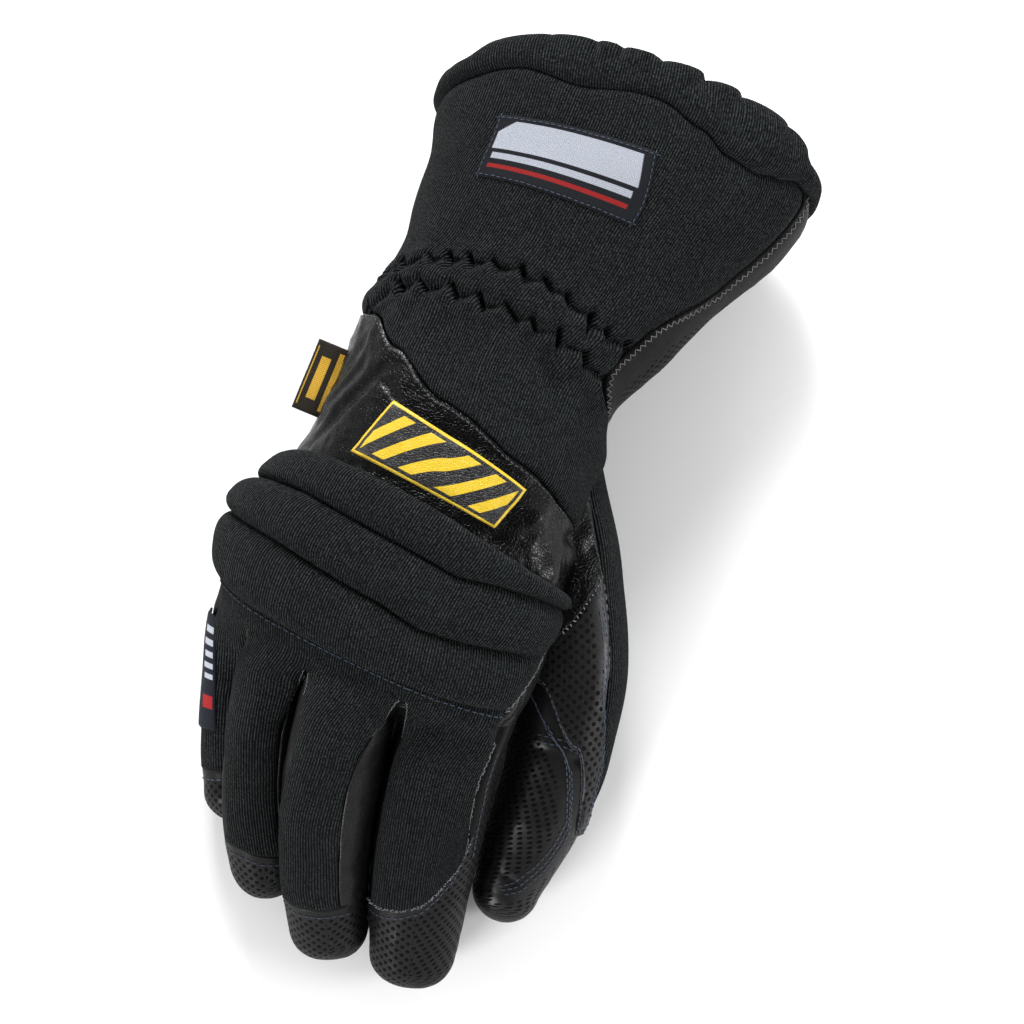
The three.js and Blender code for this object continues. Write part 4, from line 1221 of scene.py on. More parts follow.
def tongue(name):
    """A finger's knit back: from the yoke below the pad, round the knuckle and along the finger."""
    right, left, end, (yoke_right, yoke_left) = BACKS[name]
    columns, rows = BACK_GRIDS[name]
    across = np.linspace(0, 1, columns + 1)
    start_rows = np.linspace(PAD_BOTTOM - 0.12, SLOTS_TOP, 9)
    yoke = on_hand(start_rows[:, None], lerp(yoke_right, yoke_left, across)[None, :])
    first, middle = 1.5, lerp(value_of(right, 3.5), value_of(left, 3.5), across)
    at = lerp(first, value_of(end, middle) + 0.05, np.linspace(0, 1, rows)[:, None])
    angle = lerp(value_of(right, at), value_of(left, at), across[None, :])
    finger = FORMS[name](at, angle)
    base = np.concatenate([yoke, bridged(yoke, finger, 14), finger])
    panel = Panel.over(base, np.linspace(0, 1, len(base)), across)
    panel.yoke_rows = len(yoke)
    return panel


def open_slot(right, left, lower):
    """Two fingers' cloth, sewn together down to the top of their slot, and from there apart in an arch."""
    top, foot = right.yoke_rows + lower, right.yoke_rows + lower + 20
    rows = np.arange(foot + 1)
    edges = right.points[rows, -1].copy(), left.points[rows, 0].copy()
    middle, spread = (edges[0] + edges[1]) / 2, edges[1] - edges[0]
    down = np.clip((rows - top) / (foot - top), 0, 1)[:, None]
    middle = np.where(down > 0, lerp(middle[top], middle[foot], down), middle)
    spread = spread[foot] * down ** 0.6
    sides = (right, right.from_left, edges[0], -0.5), (left, left.from_right, edges[1], 0.5)
    for panel, away, edge, way in sides:
        near = bell(away[rows], 6.0)[..., None]
        panel.points[rows] += (middle + way * spread - edge)[:, None] * near


def build_finger_backs():
    panels = []
    for i, name in enumerate(BACKS):
        panel = tongue(name)
        normal = panel.normals()
        rows = np.arange(len(panel.base))[:, None] - panel.yoke_rows
        free = [1.0, *(smooth(lower + 1, lower + 9, rows) for lower in SLOTS_LOWER), 1.0]
        side = tuck(panel.from_right, 2.0, 3.4) * free[i] + tuck(panel.from_left, 2.0, 3.4) * free[i + 1]
        out = 0.9 + side + tuck(panel.from_end, 2.0, 1.8) + tuck(panel.from_start, 1.0, 3.0)
        out += 0.5 * soft_noise(panel.base, 18, 41) + 0.2 * soft_noise(panel.base, 7, 42)
        panel.points = panel.base + out[..., None] * normal
        panels.append(panel)
        PANELS[name + "_back"] = panel
    for right, left, lower in zip(panels, panels[1:], SLOTS_LOWER):
        open_slot(right, left, lower)
    made = sewn("sewn_finger_backs", panels, FINGER_KNIT, knit_look(), ["finger_backs"])


SEAM_SHARE = 0.62  # the part of a finger's grid that lies before the end of its knit back


def capped(name):
    """A finger's leather, right round it, with a row that follows the end of its knit back."""
    tip = last_row(name) + 1
    shares = np.r_[np.linspace(0, SEAM_SHARE - 0.002, 84), np.linspace(SEAM_SHARE + 0.002, 1, 52)]
    panel = Panel(name, 0.1, tip, 90, 450, shares, 110)
    end = value_of(BACKS[name][2], np.where(panel.angle > 360, panel.angle - 360, panel.angle))
    before = lerp(0.1, end, panel.share / SEAM_SHARE)
    after = lerp(end, tip, (panel.share - SEAM_SHARE) / (1 - SEAM_SHARE))
    panel.at = np.where(panel.share < SEAM_SHARE, before, after)
    panel.seam = int(np.searchsorted(panel.share[:, 0], SEAM_SHARE))
    panel.measure(FORMS[name](panel.at, panel.angle))
    panel.flat = chart(name, panel.at, panel.angle)
    return panel


def build_fronts():
    leather = tuple(bpy.context.scene.glove_colours.leather)
    look = leather_look("Fingertip leather", leather, 0.55, dots=True, gloss=0.07, coat=0.16)
    in_hand = inside_others(["hand"])
    for name in BACKS:
        right, left, _, _ = BACKS[name]
        last = last_row(name)
        panel = capped(name)
        angle = np.where(panel.angle > 300, panel.angle - 360, panel.angle)
        inside = np.minimum(angle - value_of(right, panel.at), value_of(left, panel.at) - angle)
        beyond = panel.from_start - panel.from_start[panel.seam:panel.seam + 1]
        panel.covered = (inside > 14) & (beyond < -5)
        relief = np.where(beyond < -0.05, -2.0, 0.35 * bell(beyond, 3.0)) * smooth(-14, -2, inside)
        grained = 0.35 * soft_noise(panel.base, 13, 51) - 0.25 * np.abs(soft_noise(panel.base, 6, 52))
        relief += grained * smooth(last + 0.95, last + 0.5, panel.at)
        if name == "index":
            relief += 2.4 * mound(panel.at, angle, (2.6, 200), (0.8, 26))
        in_slot = (beyond < 0) * smooth(110, 125, angle) * smooth(240, 225, angle)
        panel.plain = np.maximum(smooth(4.6, 3.8, beyond) * smooth(-24, -16, inside), in_slot)
        panel.raised(relief + tuck(panel.from_start, 4.0, 12.0))
        sewn("sewn_" + name + "_front", [panel], LEATHER, look, [name + "_front"],
             drop=lambda p: p.covered | in_hand(p))
        PANELS[name + "_front"] = panel


def slot_lining(i):
    """The leather between two fingers' cloth, which hangs from both edges of their slot."""
    names = list(BACKS)
    right, left = PANELS[names[i] + "_back"], PANELS[names[i + 1] + "_back"]
    first = right.yoke_rows + SLOTS_LOWER[i] - 1
    down = np.linspace(0, 34, 36)
    edges = []
    for panel, column in ((right, -1), (left, 0)):
        line, normal = panel.points[first:, column], panel.normals()[first:, column]
        gone = np.r_[0, np.cumsum(np.linalg.norm(np.diff(line, axis=0), axis=1))]
        both = (np.stack([np.interp(down, gone, w[:, k]) for k in range(3)], -1) for w in (line, normal))
        edges.append(list(both))
    across = np.linspace(0, 1, 25)[None, :, None]
    (a, na), (b, nb) = edges
    hang = (np.sin(np.pi * across) ** 0.6) * (0.5 + 9.5 * smooth(0, 12, down))[:, None, None]
    proud = (0.3 - 1.9 * smooth(5, 0, down))[:, None, None]
    base = lerp(a[:, None], b[:, None], across) + proud * lerp(na[:, None], nb[:, None], across)
    base[..., 2] -= hang[..., 0]
    panel = Panel.over(base, down / down[-1], across[0, :, 0])
    panel.points = base + (0.4 * soft_noise(base, 7, 67 + i))[..., None] * panel.normals()
    return panel


def build_fourchettes():
    smooth_leather = tuple(bpy.context.scene.glove_colours.smooth_leather)
    look = leather_look("Smooth leather", smooth_leather, 0.4, grain=0.9, coat=0.15, gloss=0.12)
    for i, name in enumerate(FOURCHETTES):
        edge = BACKS[name][0]
        strip = Panel(name, 0.7, last_row(name) - 0.5, -50, lambda at: value_of(edge, at) + 4, 90, 30)
        relief = 0.55 + tuck(strip.from_right, 1.2, 2.5) + tuck(strip.from_end, 2.2, 10.0)
        relief += 1.6 * mound(strip.at, strip.angle, (2.5, -10), (0.9, 30))
        relief += 0.4 * soft_noise(strip.base, 9, 61 + i) - 0.3 * np.abs(soft_noise(strip.base, 4.5, 64 + i))
        strip.raised(relief)
        sewn(f"sewn_fourchette_{name}", [strip, slot_lining(i)], LINING, look,
             [f"fourchette_{name}"])


def dotted_leather():
    """The leather of the palm and the thumb."""
    leather = tuple(bpy.context.scene.glove_colours.leather)
    return leather_look("Dotted leather", leather, 0.52, dots=True, gloss=0.08, coat=0.34, bump=0.15)


def palm_edge(at):
    """Degrees of the palm's edge on the thumb's side: past the cuff's seam, then under the pad."""
    cloth = cuff_seam(at)
    return 360 + cloth + (-6 - cloth) * smooth(7.3, 7.7, at) + np.clip(12.5 * (at - 8), 0, 28)


def build_palm():
    panel = Panel("hand", WRIST_SEAM - 0.05, 10.5, LITTLE_SIDE - 3, palm_edge, 110, 150)
    relief = tuck(panel.from_left, 1.0, 3.0) + tuck(panel.from_right, 0.8, 3.0)
    relief += tuck(panel.from_start, 0.8, 3.0)
    relief += 0.3 * soft_noise(panel.base, 18, 71) - 0.2 * np.abs(soft_noise(panel.base, 7, 72))
    panel.raised(relief)
    # The cap's seam lies just beside the panel's corner, so that the two meet in no single point
    cap = Panel("hand", 10.5, 12, LITTLE_SIDE - 3.4, LITTLE_SIDE + 356.6, 36, 200)
    under_knit = 2.0 * smooth(358, 372, cap.angle) * smooth(11.6, 11.2, cap.at)
    grained = 0.3 * soft_noise(cap.base, 18, 71) - 0.2 * np.abs(soft_noise(cap.base, 7, 72))
    cap.raised(grained - under_knit)
    sewn("sewn_palm", [panel, cap], LEATHER, dotted_leather(), ["palm"],
         drop=inside_others(list(DIGITS)))


def line_distance(points, places, form):
    """How far points are from a line through places on a form, in millimetres."""
    knots, steps = np.linspace(0, 1, len(places)), np.linspace(0, 1, 60)
    rows, degrees = (np.interp(steps, knots, [place[k] for place in places]) for k in (0, 1))
    line = [form(at, angle) for at, angle in zip(rows, degrees)]
    return np.min([np.linalg.norm(points - point, axis=-1) for point in line], axis=0)


def build_thumb():
    on_thumb = FORMS["thumb"]
    look, hidden = dotted_leather(), inside_others(["hand"])
    last = last_row("thumb")
    front = Panel("thumb", 0.3, last + 1, 150, 510, 150, 110)
    grained = 0.35 * soft_noise(front.base, 13, 81) - 0.25 * np.abs(soft_noise(front.base, 6, 82))
    across_seam = [(on_thumb(3.98, 116), on_thumb(4.05, 66), 1.4, 1.3),
                   (on_thumb(6.35, 84), on_thumb(6.1, 140), 0.9, 1.2)]
    front.plain = smooth(5.0, 3.8, line_distance(front.base, THUMB_SEAM, on_thumb))
    front.raised(grained * smooth(last + 0.95, last + 0.5, front.at) - 0.3 - dents(front.base, across_seam))
    sewn("sewn_thumb_front", [front], LEATHER, look, ["thumb_front"], drop=hidden)

    back = Panel("thumb", 0.5, 4.95, -62, knit_edge, 106, 50)
    relief = 0.5 + tuck(back.from_start, 2.4, 7.0) + tuck(back.from_right, 1.6, 3.0)
    relief = relief + tuck(back.from_end, 1.6, 4.0) + tuck(back.from_left, 1.0, 3.0)
    back.raised(relief + 0.5 * soft_noise(back.base, 15, 83))
    sewn("sewn_thumb_back", [back], THUMB_KNIT, knit_look(), ["thumb_back"], drop=hidden)

    saddle = Panel("thumb", 1.1, lambda a: 5.15 - 1.25 * smooth(20, 75, a) - 0.75 * smooth(75, 120, a),
                   knit_edge, 150, 100, 90)
    rounded = np.sqrt(np.clip(1 - (1 - np.clip(saddle.edge("end") / 2.0, 0, 1)) ** 2, 0, 1))
    relief = -0.6 + 1.6 * rounded + tuck(saddle.from_right, 1.2, 2.5) + 0.4 * soft_noise(saddle.base, 12, 84)
    saddle.raised(relief - 0.2 * np.abs(soft_noise(saddle.base, 6, 85)))
    saddle.plain = np.maximum(smooth(9.6, 8.6, saddle.from_right), smooth(3.8, 3.0, saddle.edge("end")))
    sewn("sewn_thumb_saddle", [saddle], SADDLE_LEATHER, look, ["thumb_saddle"],
         drop=hidden)
    PANELS["thumb_saddle"] = saddle


# Stitching


def stitch_tree():
    """Threads laid end to end along lines: named inputs for their sizes, and a seed for their wander."""
    tree = bpy.data.node_groups.new("Stitch rows", "GeometryNodeTree")
    face = tree.interface
    face.new_socket("Geometry", in_out="INPUT", socket_type="NodeSocketGeometry")
    sizes = ("Pitch", 0.0025), ("Length", 0.0019), ("Thread", 0.00045), ("Slant", 0.0), ("Wander", 0.00008)
    for label, default in sizes:
        face.new_socket(label, in_out="INPUT", socket_type="NodeSocketFloat").default_value = default
    face.new_socket("Seed", in_out="INPUT", socket_type="NodeSocketInt").default_value = 4
    face.new_socket("Material", in_out="INPUT", socket_type="NodeSocketMaterial")
    face.new_socket("Geometry", in_out="OUTPUT", socket_type="NodeSocketGeometry")
    start, end = tree.nodes.new("NodeGroupInput"), tree.nodes.new("NodeGroupOutput")

    # A point for each stitch
    curve = add(tree, "GeometryNodeMeshToCurve")
    link(tree, start.outputs["Geometry"], curve.inputs[0])
    points = add(tree, "GeometryNodeCurveToPoints", mode="LENGTH")
    link(tree, curve.outputs[0], points.inputs["Curve"])
    link(tree, start.outputs["Pitch"], points.inputs["Length"])

    # Every other stitch slants the other way, turned about the cloth's normal
    index = add(tree, "GeometryNodeInputIndex")
    odd = math_node(tree, "MODULO", index.outputs[0], 2.0)
    side = math_node(tree, "MULTIPLY_ADD", odd, 2.0, -1.0)
    slant = math_node(tree, "MULTIPLY", side, start.outputs["Slant"])
    facing = add(tree, "GeometryNodeInputNamedAttribute", data_type="FLOAT_VECTOR")
    facing.inputs["Name"].default_value = "facing"
    turned = add(tree, "ShaderNodeVectorRotate", rotation_type="AXIS_ANGLE")
    link(tree, points.outputs["Tangent"], turned.inputs["Vector"])
    link(tree, facing.outputs[0], turned.inputs["Axis"])
    link(tree, slant, turned.inputs["Angle"])
    align = add(tree, "FunctionNodeAlignRotationToVector", axis="X")
    link(tree, turned.outputs[0], align.inputs["Vector"])

    # One thread: a ball drawn out along X
    thread = add(tree, "GeometryNodeMeshUVSphere")
    thread.inputs["Segments"].default_value, thread.inputs["Rings"].default_value = 6, 6
    thread.inputs["Radius"].default_value = 0.5
    stretch = add(tree, "ShaderNodeCombineXYZ")
    link(tree, start.outputs["Length"], stretch.inputs[0])
    link(tree, start.outputs["Thread"], stretch.inputs[1])
    link(tree, start.outputs["Thread"], stretch.inputs[2])
    turn = add(tree, "GeometryNodeTransform")
    turn.inputs["Rotation"].default_value = (0, math.pi / 2, 0)
    link(tree, thread.outputs[0], turn.inputs["Geometry"])
    sized = add(tree, "GeometryNodeTransform")
    link(tree, turn.outputs[0], sized.inputs["Geometry"])
    link(tree, stretch.outputs[0], sized.inputs["Scale"])

    # Each lies a little off its line
    wander = add(tree, "FunctionNodeRandomValue", data_type="FLOAT_VECTOR")
    wander.inputs[0].default_value, wander.inputs[1].default_value = (-1, -1, -1), (1, 1, 1)
    link(tree, start.outputs["Seed"], wander.inputs["Seed"])
    shift = add(tree, "ShaderNodeVectorMath", operation="SCALE")
    link(tree, wander.outputs[0], shift.inputs[0])
    link(tree, start.outputs["Wander"], shift.inputs["Scale"])
    moved = add(tree, "GeometryNodeSetPosition")
    link(tree, points.outputs["Points"], moved.inputs["Geometry"])
    link(tree, shift.outputs[0], moved.inputs["Offset"])
    laid = add(tree, "GeometryNodeInstanceOnPoints")
    link(tree, moved.outputs[0], laid.inputs["Points"])
    link(tree, sized.outputs[0], laid.inputs["Instance"])
    link(tree, align.outputs[0], laid.inputs["Rotation"])

    real = add(tree, "GeometryNodeRealizeInstances")
    link(tree, laid.outputs[0], real.inputs[0])
    rounded = add(tree, "GeometryNodeSetShadeSmooth")
    link(tree, real.outputs[0], rounded.inputs[0])
    coloured = add(tree, "GeometryNodeSetMaterial")
    link(tree, rounded.outputs[0], coloured.inputs["Geometry"])
    link(tree, start.outputs["Material"], coloured.inputs["Material"])
    link(tree, coloured.outputs[0], end.inputs[0])
    return tree


def stitches(name, lines, look, pitch, length, thread, slant=0.0, wander=0.08, seed=4):
    """Rows of stitches along lines of (points, normals)."""
    if "stitch" not in TREES:
        TREES["stitch"] = stitch_tree()
    points = np.vstack([line for line, _ in lines]) * MM
    facing = np.vstack([normals for _, normals in lines])
    edges, start = [], 0
    for line, _ in lines:
        edges += [(start + k, start + k + 1) for k in range(len(line) - 1)]
        start += len(line)
    mesh = bpy.data.meshes.new(name + "_lines")
    mesh.from_pydata(points.tolist(), edges, [])
    layer = mesh.attributes.new("facing", "FLOAT_VECTOR", "POINT")
    layer.data.foreach_set("vector", facing.astype(np.float32).ravel())
    made = bpy.data.objects.new(name, mesh)
    bpy.context.scene.collection.objects.link(made)
    modifier = made.modifiers.new("Stitch rows", "NODES")
    modifier.node_group = TREES["stitch"]
    values = {"Pitch": pitch * MM, "Length": length * MM, "Thread": thread * MM, "Slant": slant,
              "Wander": wander * MM, "Seed": seed, "Material": look}
    for item in TREES["stitch"].interface.items_tree:
        if item.in_out == "INPUT" and item.name in values:
            modifier[item.identifier] = values[item.name]
    depsgraph = bpy.context.evaluated_depsgraph_get()
    sewn_rows = made.evaluated_get(depsgraph)
    result = bpy.data.meshes.new_from_object(sewn_rows, preserve_all_data_layers=True, depsgraph=depsgraph)
    made.modifiers.remove(modifier)
    made.data = result
    result.name = name
    if not result.materials:
        result.materials.append(look)
    finish_piece(made)


def on_line(form, places, proud=0.25, steps=60):
    """A smooth line over a form through places (row, degrees), with the form's normals."""
    places = np.array(places, float)
    along = np.linspace(0, 1, steps)
    knots = np.linspace(0, 1, len(places))
    at, angle = (np.interp(along, knots, places[:, k]) for k in (0, 1))
    for _ in range(3):
        at[1:-1], angle[1:-1] = (0.25 * (w[:-2] + 2 * w[1:-1] + w[2:]) for w in (at, angle))
    points = FORMS[form](at, angle, proud)
    facing = FORMS[form](at, angle, proud + 1) - points
    return points, facing / np.linalg.norm(facing, axis=1, keepdims=True)


def beyond_end(name, distance, proud=0.15):
    """A line on a finger's leather, past the end of its knit back, with the leather's normals."""
    panel = PANELS[name + "_front"]
    angle = np.where(panel.angle[0] > 300, panel.angle[0] - 360, panel.angle[0])
    low, high = (value_of(edge, 3.5) for edge in BACKS[name][:2])
    over = [j for j in np.argsort(angle) if low - 6 < angle[j] < high + 6]
    lengths = panel.from_start - panel.from_start[panel.seam]
    line, facing = (line_across(lengths, grid, over, distance) for grid in (panel.points, panel.normals()))
    return line + proud * facing, facing


def stitch_patch():
    dim = thread_look("Dim thread", (0.05, 0.055, 0.065, 1))
    rows = [PANELS["back_patch"].inset("start", 1.5, 0.03, 0.97),
            PANELS["patch_wing"].inset("right", 1.5, 0.3, 0.95)]
    stitches("patch_stitching", rows, dim, pitch=1.9, length=1.4, thread=0.36, slant=0.2)


def stitch_cuff():
    seam = thread_look("Seam thread", (0.11, 0.11, 0.11, 1))
    rows = [PANELS["cuff_leather"].inset("left", 1.7, 0.04, 0.98, proud=0.2)]
    stitches("cuff_seam_stitching", rows, seam, pitch=1.1, length=2.2, thread=0.34,
             slant=0.9, wander=0.2)


def stitch_fingers(navy):
    rows = [PANELS[name + "_back"].inset("start", 2.6, 0.02, 0.98) for name in BACKS]
    rows += [beyond_end(name, 3.3) for name in BACKS]
    index_side = [(at, 31 - 3 * smooth(2.6, 3.2, at)) for at in np.linspace(1.6, 3.0, 8)]
    rows.append(on_line("index", index_side, 0.25))
    stitches("finger_stitching", rows, navy, pitch=2.3, length=1.8, thread=0.42)


def stitch_label(navy):
    rows = [PANELS["cuff_label"].inset(edge, 0.9) for edge in ("start", "end", "right", "left")]
    stitches("label_stitching", rows, navy, pitch=2.0, length=1.5, thread=0.3)


def stitch_thumb(navy):
    """The saddle's borders, three rows along the seam across the thumb, and two across its tip."""
    saddle = PANELS["thumb_saddle"]
    rows = [saddle.inset("end", 1.6)]
    for step in (-0.5, 0.5, 1.5):
        beside = [(at - 0.1 * step, angle + 6 * step) for at, angle in THUMB_SEAM]
        rows.append(on_line("thumb", beside, 0.15, 90))
    rows += [saddle.inset("right", inset, 0.16, 0.97) for inset in (3.0, 5.4)]
    rows += [on_line("thumb", [(at, 112), (at, 88), (at + 0.05, 72)], 0.2, 40) for at in (3.8, 3.88)]
    stitches("thumb_stitching", rows, navy, pitch=2.1, length=1.6, thread=0.42,
             wander=0.15)


def fray_edges():
    """Loose fibres along the index finger's knit and the end of the knuckle pad."""
    pale = thread_look("Pale fibres", (0.2, 0.205, 0.21, 1))
    rows = [PANELS["index_back"].inset("right", 0.6, 0.25, 1.0, proud=0.2), beyond_end("index", 0.1, 0.1),
            PANELS["knuckle_pad"].inset("right", 0.6, 0.45, 1.0, proud=0.1)]
    stitches("frayed_edge", rows, pale, pitch=0.4, length=1.4, thread=0.28, slant=0.7, wander=0.4,
             seed=7)


def whip_edges(grey):
    """Short threads that bind the pad's end, the saddle and the edges of two slots."""
    saddle = PANELS["thumb_saddle"]
    rows = [PANELS["knuckle_pad"].inset("right", 0.2, 0.0, 0.9, proud=0.2),
            saddle.inset("left", 1.2, 0.3, 0.9), saddle.inset("end", 0.4, 0.0, 0.9)]
    names = list(BACKS)
    for i, lower in enumerate(SLOTS_LOWER[:2]):
        for name, edge in ((names[i], "left"), (names[i + 1], "right")):
            panel = PANELS[name + "_back"]
            first = (panel.yoke_rows + lower + 2) / len(panel.base)
            rows.append(panel.inset(edge, 0.5, first, 0.6, proud=0.1))
    stitches("whipped_edge", rows, grey, pitch=0.8, length=0.9, thread=0.24, slant=0.5, seed=9)


def stitch_border(grey):
    """Slanted threads that hold the patch's wing to the saddle."""
    rows = [PANELS["patch_wing"].inset("end", 0.5, 0.04, 0.8, proud=0.3)]
    stitches("border_stitching", rows, grey, pitch=1.7, length=1.9, thread=0.45,
             slant=1.4, seed=11)


def build_stitching():
    navy = thread_look("Navy thread", tuple(bpy.context.scene.glove_colours.thread))
    grey = thread_look("Grey thread", (0.15, 0.153, 0.157, 1))
    stitch_patch()
    stitch_cuff()
    stitch_fingers(navy)
    stitch_label(navy)
    stitch_thumb(navy)
    fray_edges()
    whip_edges(grey)
    stitch_border(grey)


# Stage


def build_floor():
    floor = bpy.data.meshes.new("floor")
    reach, top = 3, -0.0003
    corners = [(-reach, -reach, top), (reach, -reach, top), (reach, reach, top), (-reach, reach, top)]
    floor.from_pydata(corners, [], [(0, 1, 2, 3)])
    look, tree = nodes_of("Pale floor")
    shader = tree.nodes["Principled BSDF"]
    shader.inputs["Base Color"].default_value = (0.93, 0.93, 0.93, 1)
    shader.inputs["Roughness"].default_value = 0.9
    floor.materials.append(look)
    made = bpy.data.objects.new("floor", floor)
    bpy.context.scene.collection.objects.link(made)


def build_sky():
    """A white room, bright at the horizon and dim overhead."""
    world = bpy.data.worlds.new("Studio")
    bpy.context.scene.world = world
    world.use_nodes = True
    sky = world.node_tree
    place = add(sky, "ShaderNodeTexCoord")
    split = add(sky, "ShaderNodeSeparateXYZ")
    link(sky, place.outputs["Generated"], split.inputs[0])
    background = sky.nodes["Background"]
    link(sky, ramp(sky, split.outputs[2], 0.45, 0.88, 1.3, 0.12), background.inputs["Strength"])
    background.inputs["Color"].default_value = (1, 1, 1, 1)


# Name, place in metres, width in metres and power in watts
LAMPS = [
    ("key", (-0.4, 1.15, 0.55), 0.45, 28),
    ("fill", (1.15, 0.1, 0.5), 0.4, 9),
    ("front", (-0.6, -1.1, 0.6), 0.5, 13),
]
# The camera looks straight down: its place in metres, its turn in degrees, its sensor and lens in millimetres
CAMERA_X, CAMERA_Y, CAMERA_TURN = 0.021, -0.010, 15
SENSOR, LENS = 36, 120.07


def build_stage():
    scene = bpy.context.scene
    build_floor()
    build_sky()
    for name, place, size, power in LAMPS:
        light = bpy.data.lights.new(name, "AREA")
        light.size, light.energy = size, power
        lamp = bpy.data.objects.new(name, light)
        lamp.location = place
        lamp.rotation_mode = "QUATERNION"
        lamp.rotation_quaternion = (Vector((0, 0, 0.02)) - Vector(place)).to_track_quat("-Z", "Y")
        scene.collection.objects.link(lamp)
    camera = bpy.data.cameras.new("camera")
    camera.sensor_width, camera.lens = SENSOR, LENS
    camera.clip_start, camera.clip_end = 0.05, 20
    eye = bpy.data.objects.new("camera", camera)
    eye.location = (CAMERA_X, CAMERA_Y, scene.glove_sizes.photo_height)
    eye.rotation_euler = (0, 0, math.radians(CAMERA_TURN))
    scene.collection.objects.link(eye)
    scene.camera = eye
    scene.view_settings.view_transform = "Standard"


# Add-on


class GloveSizes(bpy.types.PropertyGroup):
    """Sizes that a maker would change."""
    rib_height: FloatProperty(
        name="Rib height", description="How far the padded knuckle ribs stand up",
        default=0.0038, unit="LENGTH", subtype="DISTANCE",
    )
    pinch_depth: FloatProperty(
        name="Pinch depth", description="Depth of the folds at the wrist's elastic",
        default=0.0034, unit="LENGTH", subtype="DISTANCE",
    )
    photo_height: FloatProperty(
        name="Camera height", description="Height of the camera over the floor",
        default=1.14, unit="LENGTH", subtype="DISTANCE",
    )


class GloveColours(bpy.types.PropertyGroup):
    """Colours of the cloth, leather and thread."""
    knit: FloatVectorProperty(
        name="Knit", description="Colour of the rib knit",
        subtype="COLOR", size=4, min=0, max=1, default=(0.0044, 0.0050, 0.0052, 1),
    )
    leather: FloatVectorProperty(
        name="Leather", description="Ground of the dotted leather",
        subtype="COLOR", size=4, min=0, max=1, default=(0.0052, 0.0048, 0.0050, 1),
    )
    smooth_leather: FloatVectorProperty(
        name="Smooth leather", description="Colour of the leather between the fingers",
        subtype="COLOR", size=4, min=0, max=1, default=(0.0030, 0.0029, 0.0031, 1),
    )
    patch: FloatVectorProperty(
        name="Glossy leather", description="Colour of the glossy leather on the back",
        subtype="COLOR", size=4, min=0, max=1, default=(0.0012, 0.0012, 0.0013, 1),
    )
    dots: FloatVectorProperty(
        name="Grip dots", description="Colour of the printed grip dots",
        subtype="COLOR", size=4, min=0, max=1, default=(0.0010, 0.0010, 0.0010, 1),
    )
    print_yellow: FloatVectorProperty(
        name="Yellow print", description="Yellow of the bars on the patch",
        subtype="COLOR", size=4, min=0, max=1, default=(0.62, 0.42, 0.008, 1),
    )
    thread: FloatVectorProperty(
        name="Thread", description="Colour of the main seams' thread",
        subtype="COLOR", size=4, min=0, max=1, default=(0.04, 0.053, 0.08, 1),
    )


class GLOVE_OT_stage(bpy.types.Operator):
    """Lays the floor and sets the lights and the camera"""
    bl_idname = "glove.stage"
    bl_label = "Studio"

    def execute(self, context):
        build_stage()
        return {"FINISHED"}


class GLOVE_OT_hem(bpy.types.Operator):
    """Rolls the cuff's padded hem"""
    bl_idname = "glove.hem"
    bl_label = "Hem"

    def execute(self, context):
        build_hem()
        return {"FINISHED"}


class GLOVE_OT_back_cloth(bpy.types.Operator):
    """Sews the knit back with its gathered wrist"""
    bl_idname = "glove.back_cloth"
    bl_label = "Back cloth"

    def execute(self, context):
        build_back_cloth()
        return {"FINISHED"}


class GLOVE_OT_cuff_leather(bpy.types.Operator):
    """Sews the leather under the cuff"""
    bl_idname = "glove.cuff_leather"
    bl_label = "Cuff leather"

    def execute(self, context):
        build_cuff_leather()
        return {"FINISHED"}


class GLOVE_OT_patch(bpy.types.Operator):
    """Sews the glossy leather patch and its print"""
    bl_idname = "glove.patch"
    bl_label = "Patch"

    def execute(self, context):
        build_patch()
        return {"FINISHED"}


class GLOVE_OT_pad(bpy.types.Operator):
    """Stuffs the three ribs over the knuckles"""
    bl_idname = "glove.pad"
    bl_label = "Knuckle pad"

    def execute(self, context):
        build_pad()
        return {"FINISHED"}


class GLOVE_OT_finger_backs(bpy.types.Operator):
    """Sews the knit backs of the fingers"""
    bl_idname = "glove.finger_backs"
    bl_label = "Finger backs"

    def execute(self, context):
        build_finger_backs()
        return {"FINISHED"}


class GLOVE_OT_fronts(bpy.types.Operator):
    """Sews the dotted leather round each finger"""
    bl_idname = "glove.fronts"
    bl_label = "Finger fronts"

    def execute(self, context):
        build_fronts()
        return {"FINISHED"}


class GLOVE_OT_fourchettes(bpy.types.Operator):
    """Sews the smooth leather between the fingers"""
    bl_idname = "glove.fourchettes"
    bl_label = "Fourchettes"

    def execute(self, context):
        build_fourchettes()
        return {"FINISHED"}


class GLOVE_OT_palm(bpy.types.Operator):
    """Sews the dotted leather palm"""
    bl_idname = "glove.palm"
    bl_label = "Palm"

    def execute(self, context):
        build_palm()
        return {"FINISHED"}


class GLOVE_OT_thumb(bpy.types.Operator):
    """Sews the thumb's leather, its knit back and its saddle"""
    bl_idname = "glove.thumb"
    bl_label = "Thumb"

    def execute(self, context):
        build_thumb()
        return {"FINISHED"}


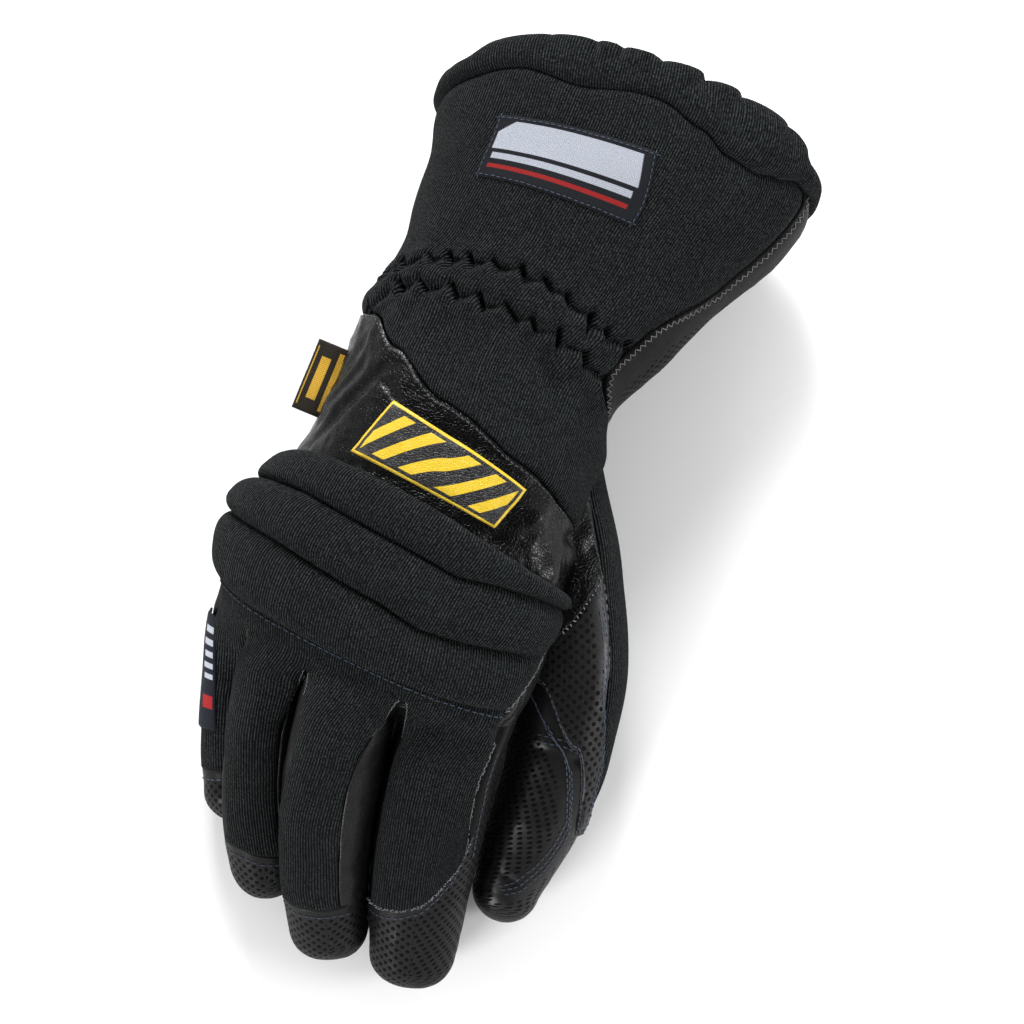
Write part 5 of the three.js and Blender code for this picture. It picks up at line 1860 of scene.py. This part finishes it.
class GLOVE_OT_labels(bpy.types.Operator):
    """Sews on the two labels"""
    bl_idname = "glove.labels"
    bl_label = "Labels"

    def execute(self, context):
        build_cuff_label()
        build_side_label()
        return {"FINISHED"}


class GLOVE_OT_tape(bpy.types.Operator):
    """Folds the tape into its seam"""
    bl_idname = "glove.tape"
    bl_label = "Pull tag"

    def execute(self, context):
        build_tag()
        return {"FINISHED"}


class GLOVE_OT_stitching(bpy.types.Operator):
    """Runs the rows of stitches"""
    bl_idname = "glove.stitching"
    bl_label = "Stitching"

    def execute(self, context):
        build_stitching()
        return {"FINISHED"}


# In the order in which they are sewn
OPERATORS = [
    GLOVE_OT_stage, GLOVE_OT_hem, GLOVE_OT_back_cloth, GLOVE_OT_cuff_leather, GLOVE_OT_patch,
    GLOVE_OT_pad, GLOVE_OT_finger_backs, GLOVE_OT_fronts, GLOVE_OT_fourchettes, GLOVE_OT_palm,
    GLOVE_OT_thumb, GLOVE_OT_labels, GLOVE_OT_tape, GLOVE_OT_stitching,
]


class GLOVE_PT_pieces(bpy.types.Panel):
    """Lists the glove's pieces in the order they are sewn."""
    bl_idname = "GLOVE_PT_pieces"
    bl_label = "Glove"
    bl_space_type = "VIEW_3D"
    bl_region_type = "UI"
    bl_category = "Glove"

    def draw(self, context):
        for group_of in (context.scene.glove_sizes, context.scene.glove_colours):
            for key in group_of.__annotations__:
                self.layout.prop(group_of, key)
        for sews in OPERATORS:
            self.layout.operator(sews.bl_idname)


CLASSES = [GloveSizes, GloveColours, *OPERATORS, GLOVE_PT_pieces]


def register():
    for made in CLASSES:
        bpy.utils.register_class(made)
    bpy.types.Scene.glove_sizes = PointerProperty(type=GloveSizes)
    bpy.types.Scene.glove_colours = PointerProperty(type=GloveColours)


def unregister():
    del bpy.types.Scene.glove_colours, bpy.types.Scene.glove_sizes
    for made in reversed(CLASSES):
        bpy.utils.unregister_class(made)


def main():
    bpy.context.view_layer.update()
    register()
    for sews in OPERATORS:
        getattr(bpy.ops.glove, sews.bl_idname.split(".")[1])()


if __name__ == "__main__":
    main()
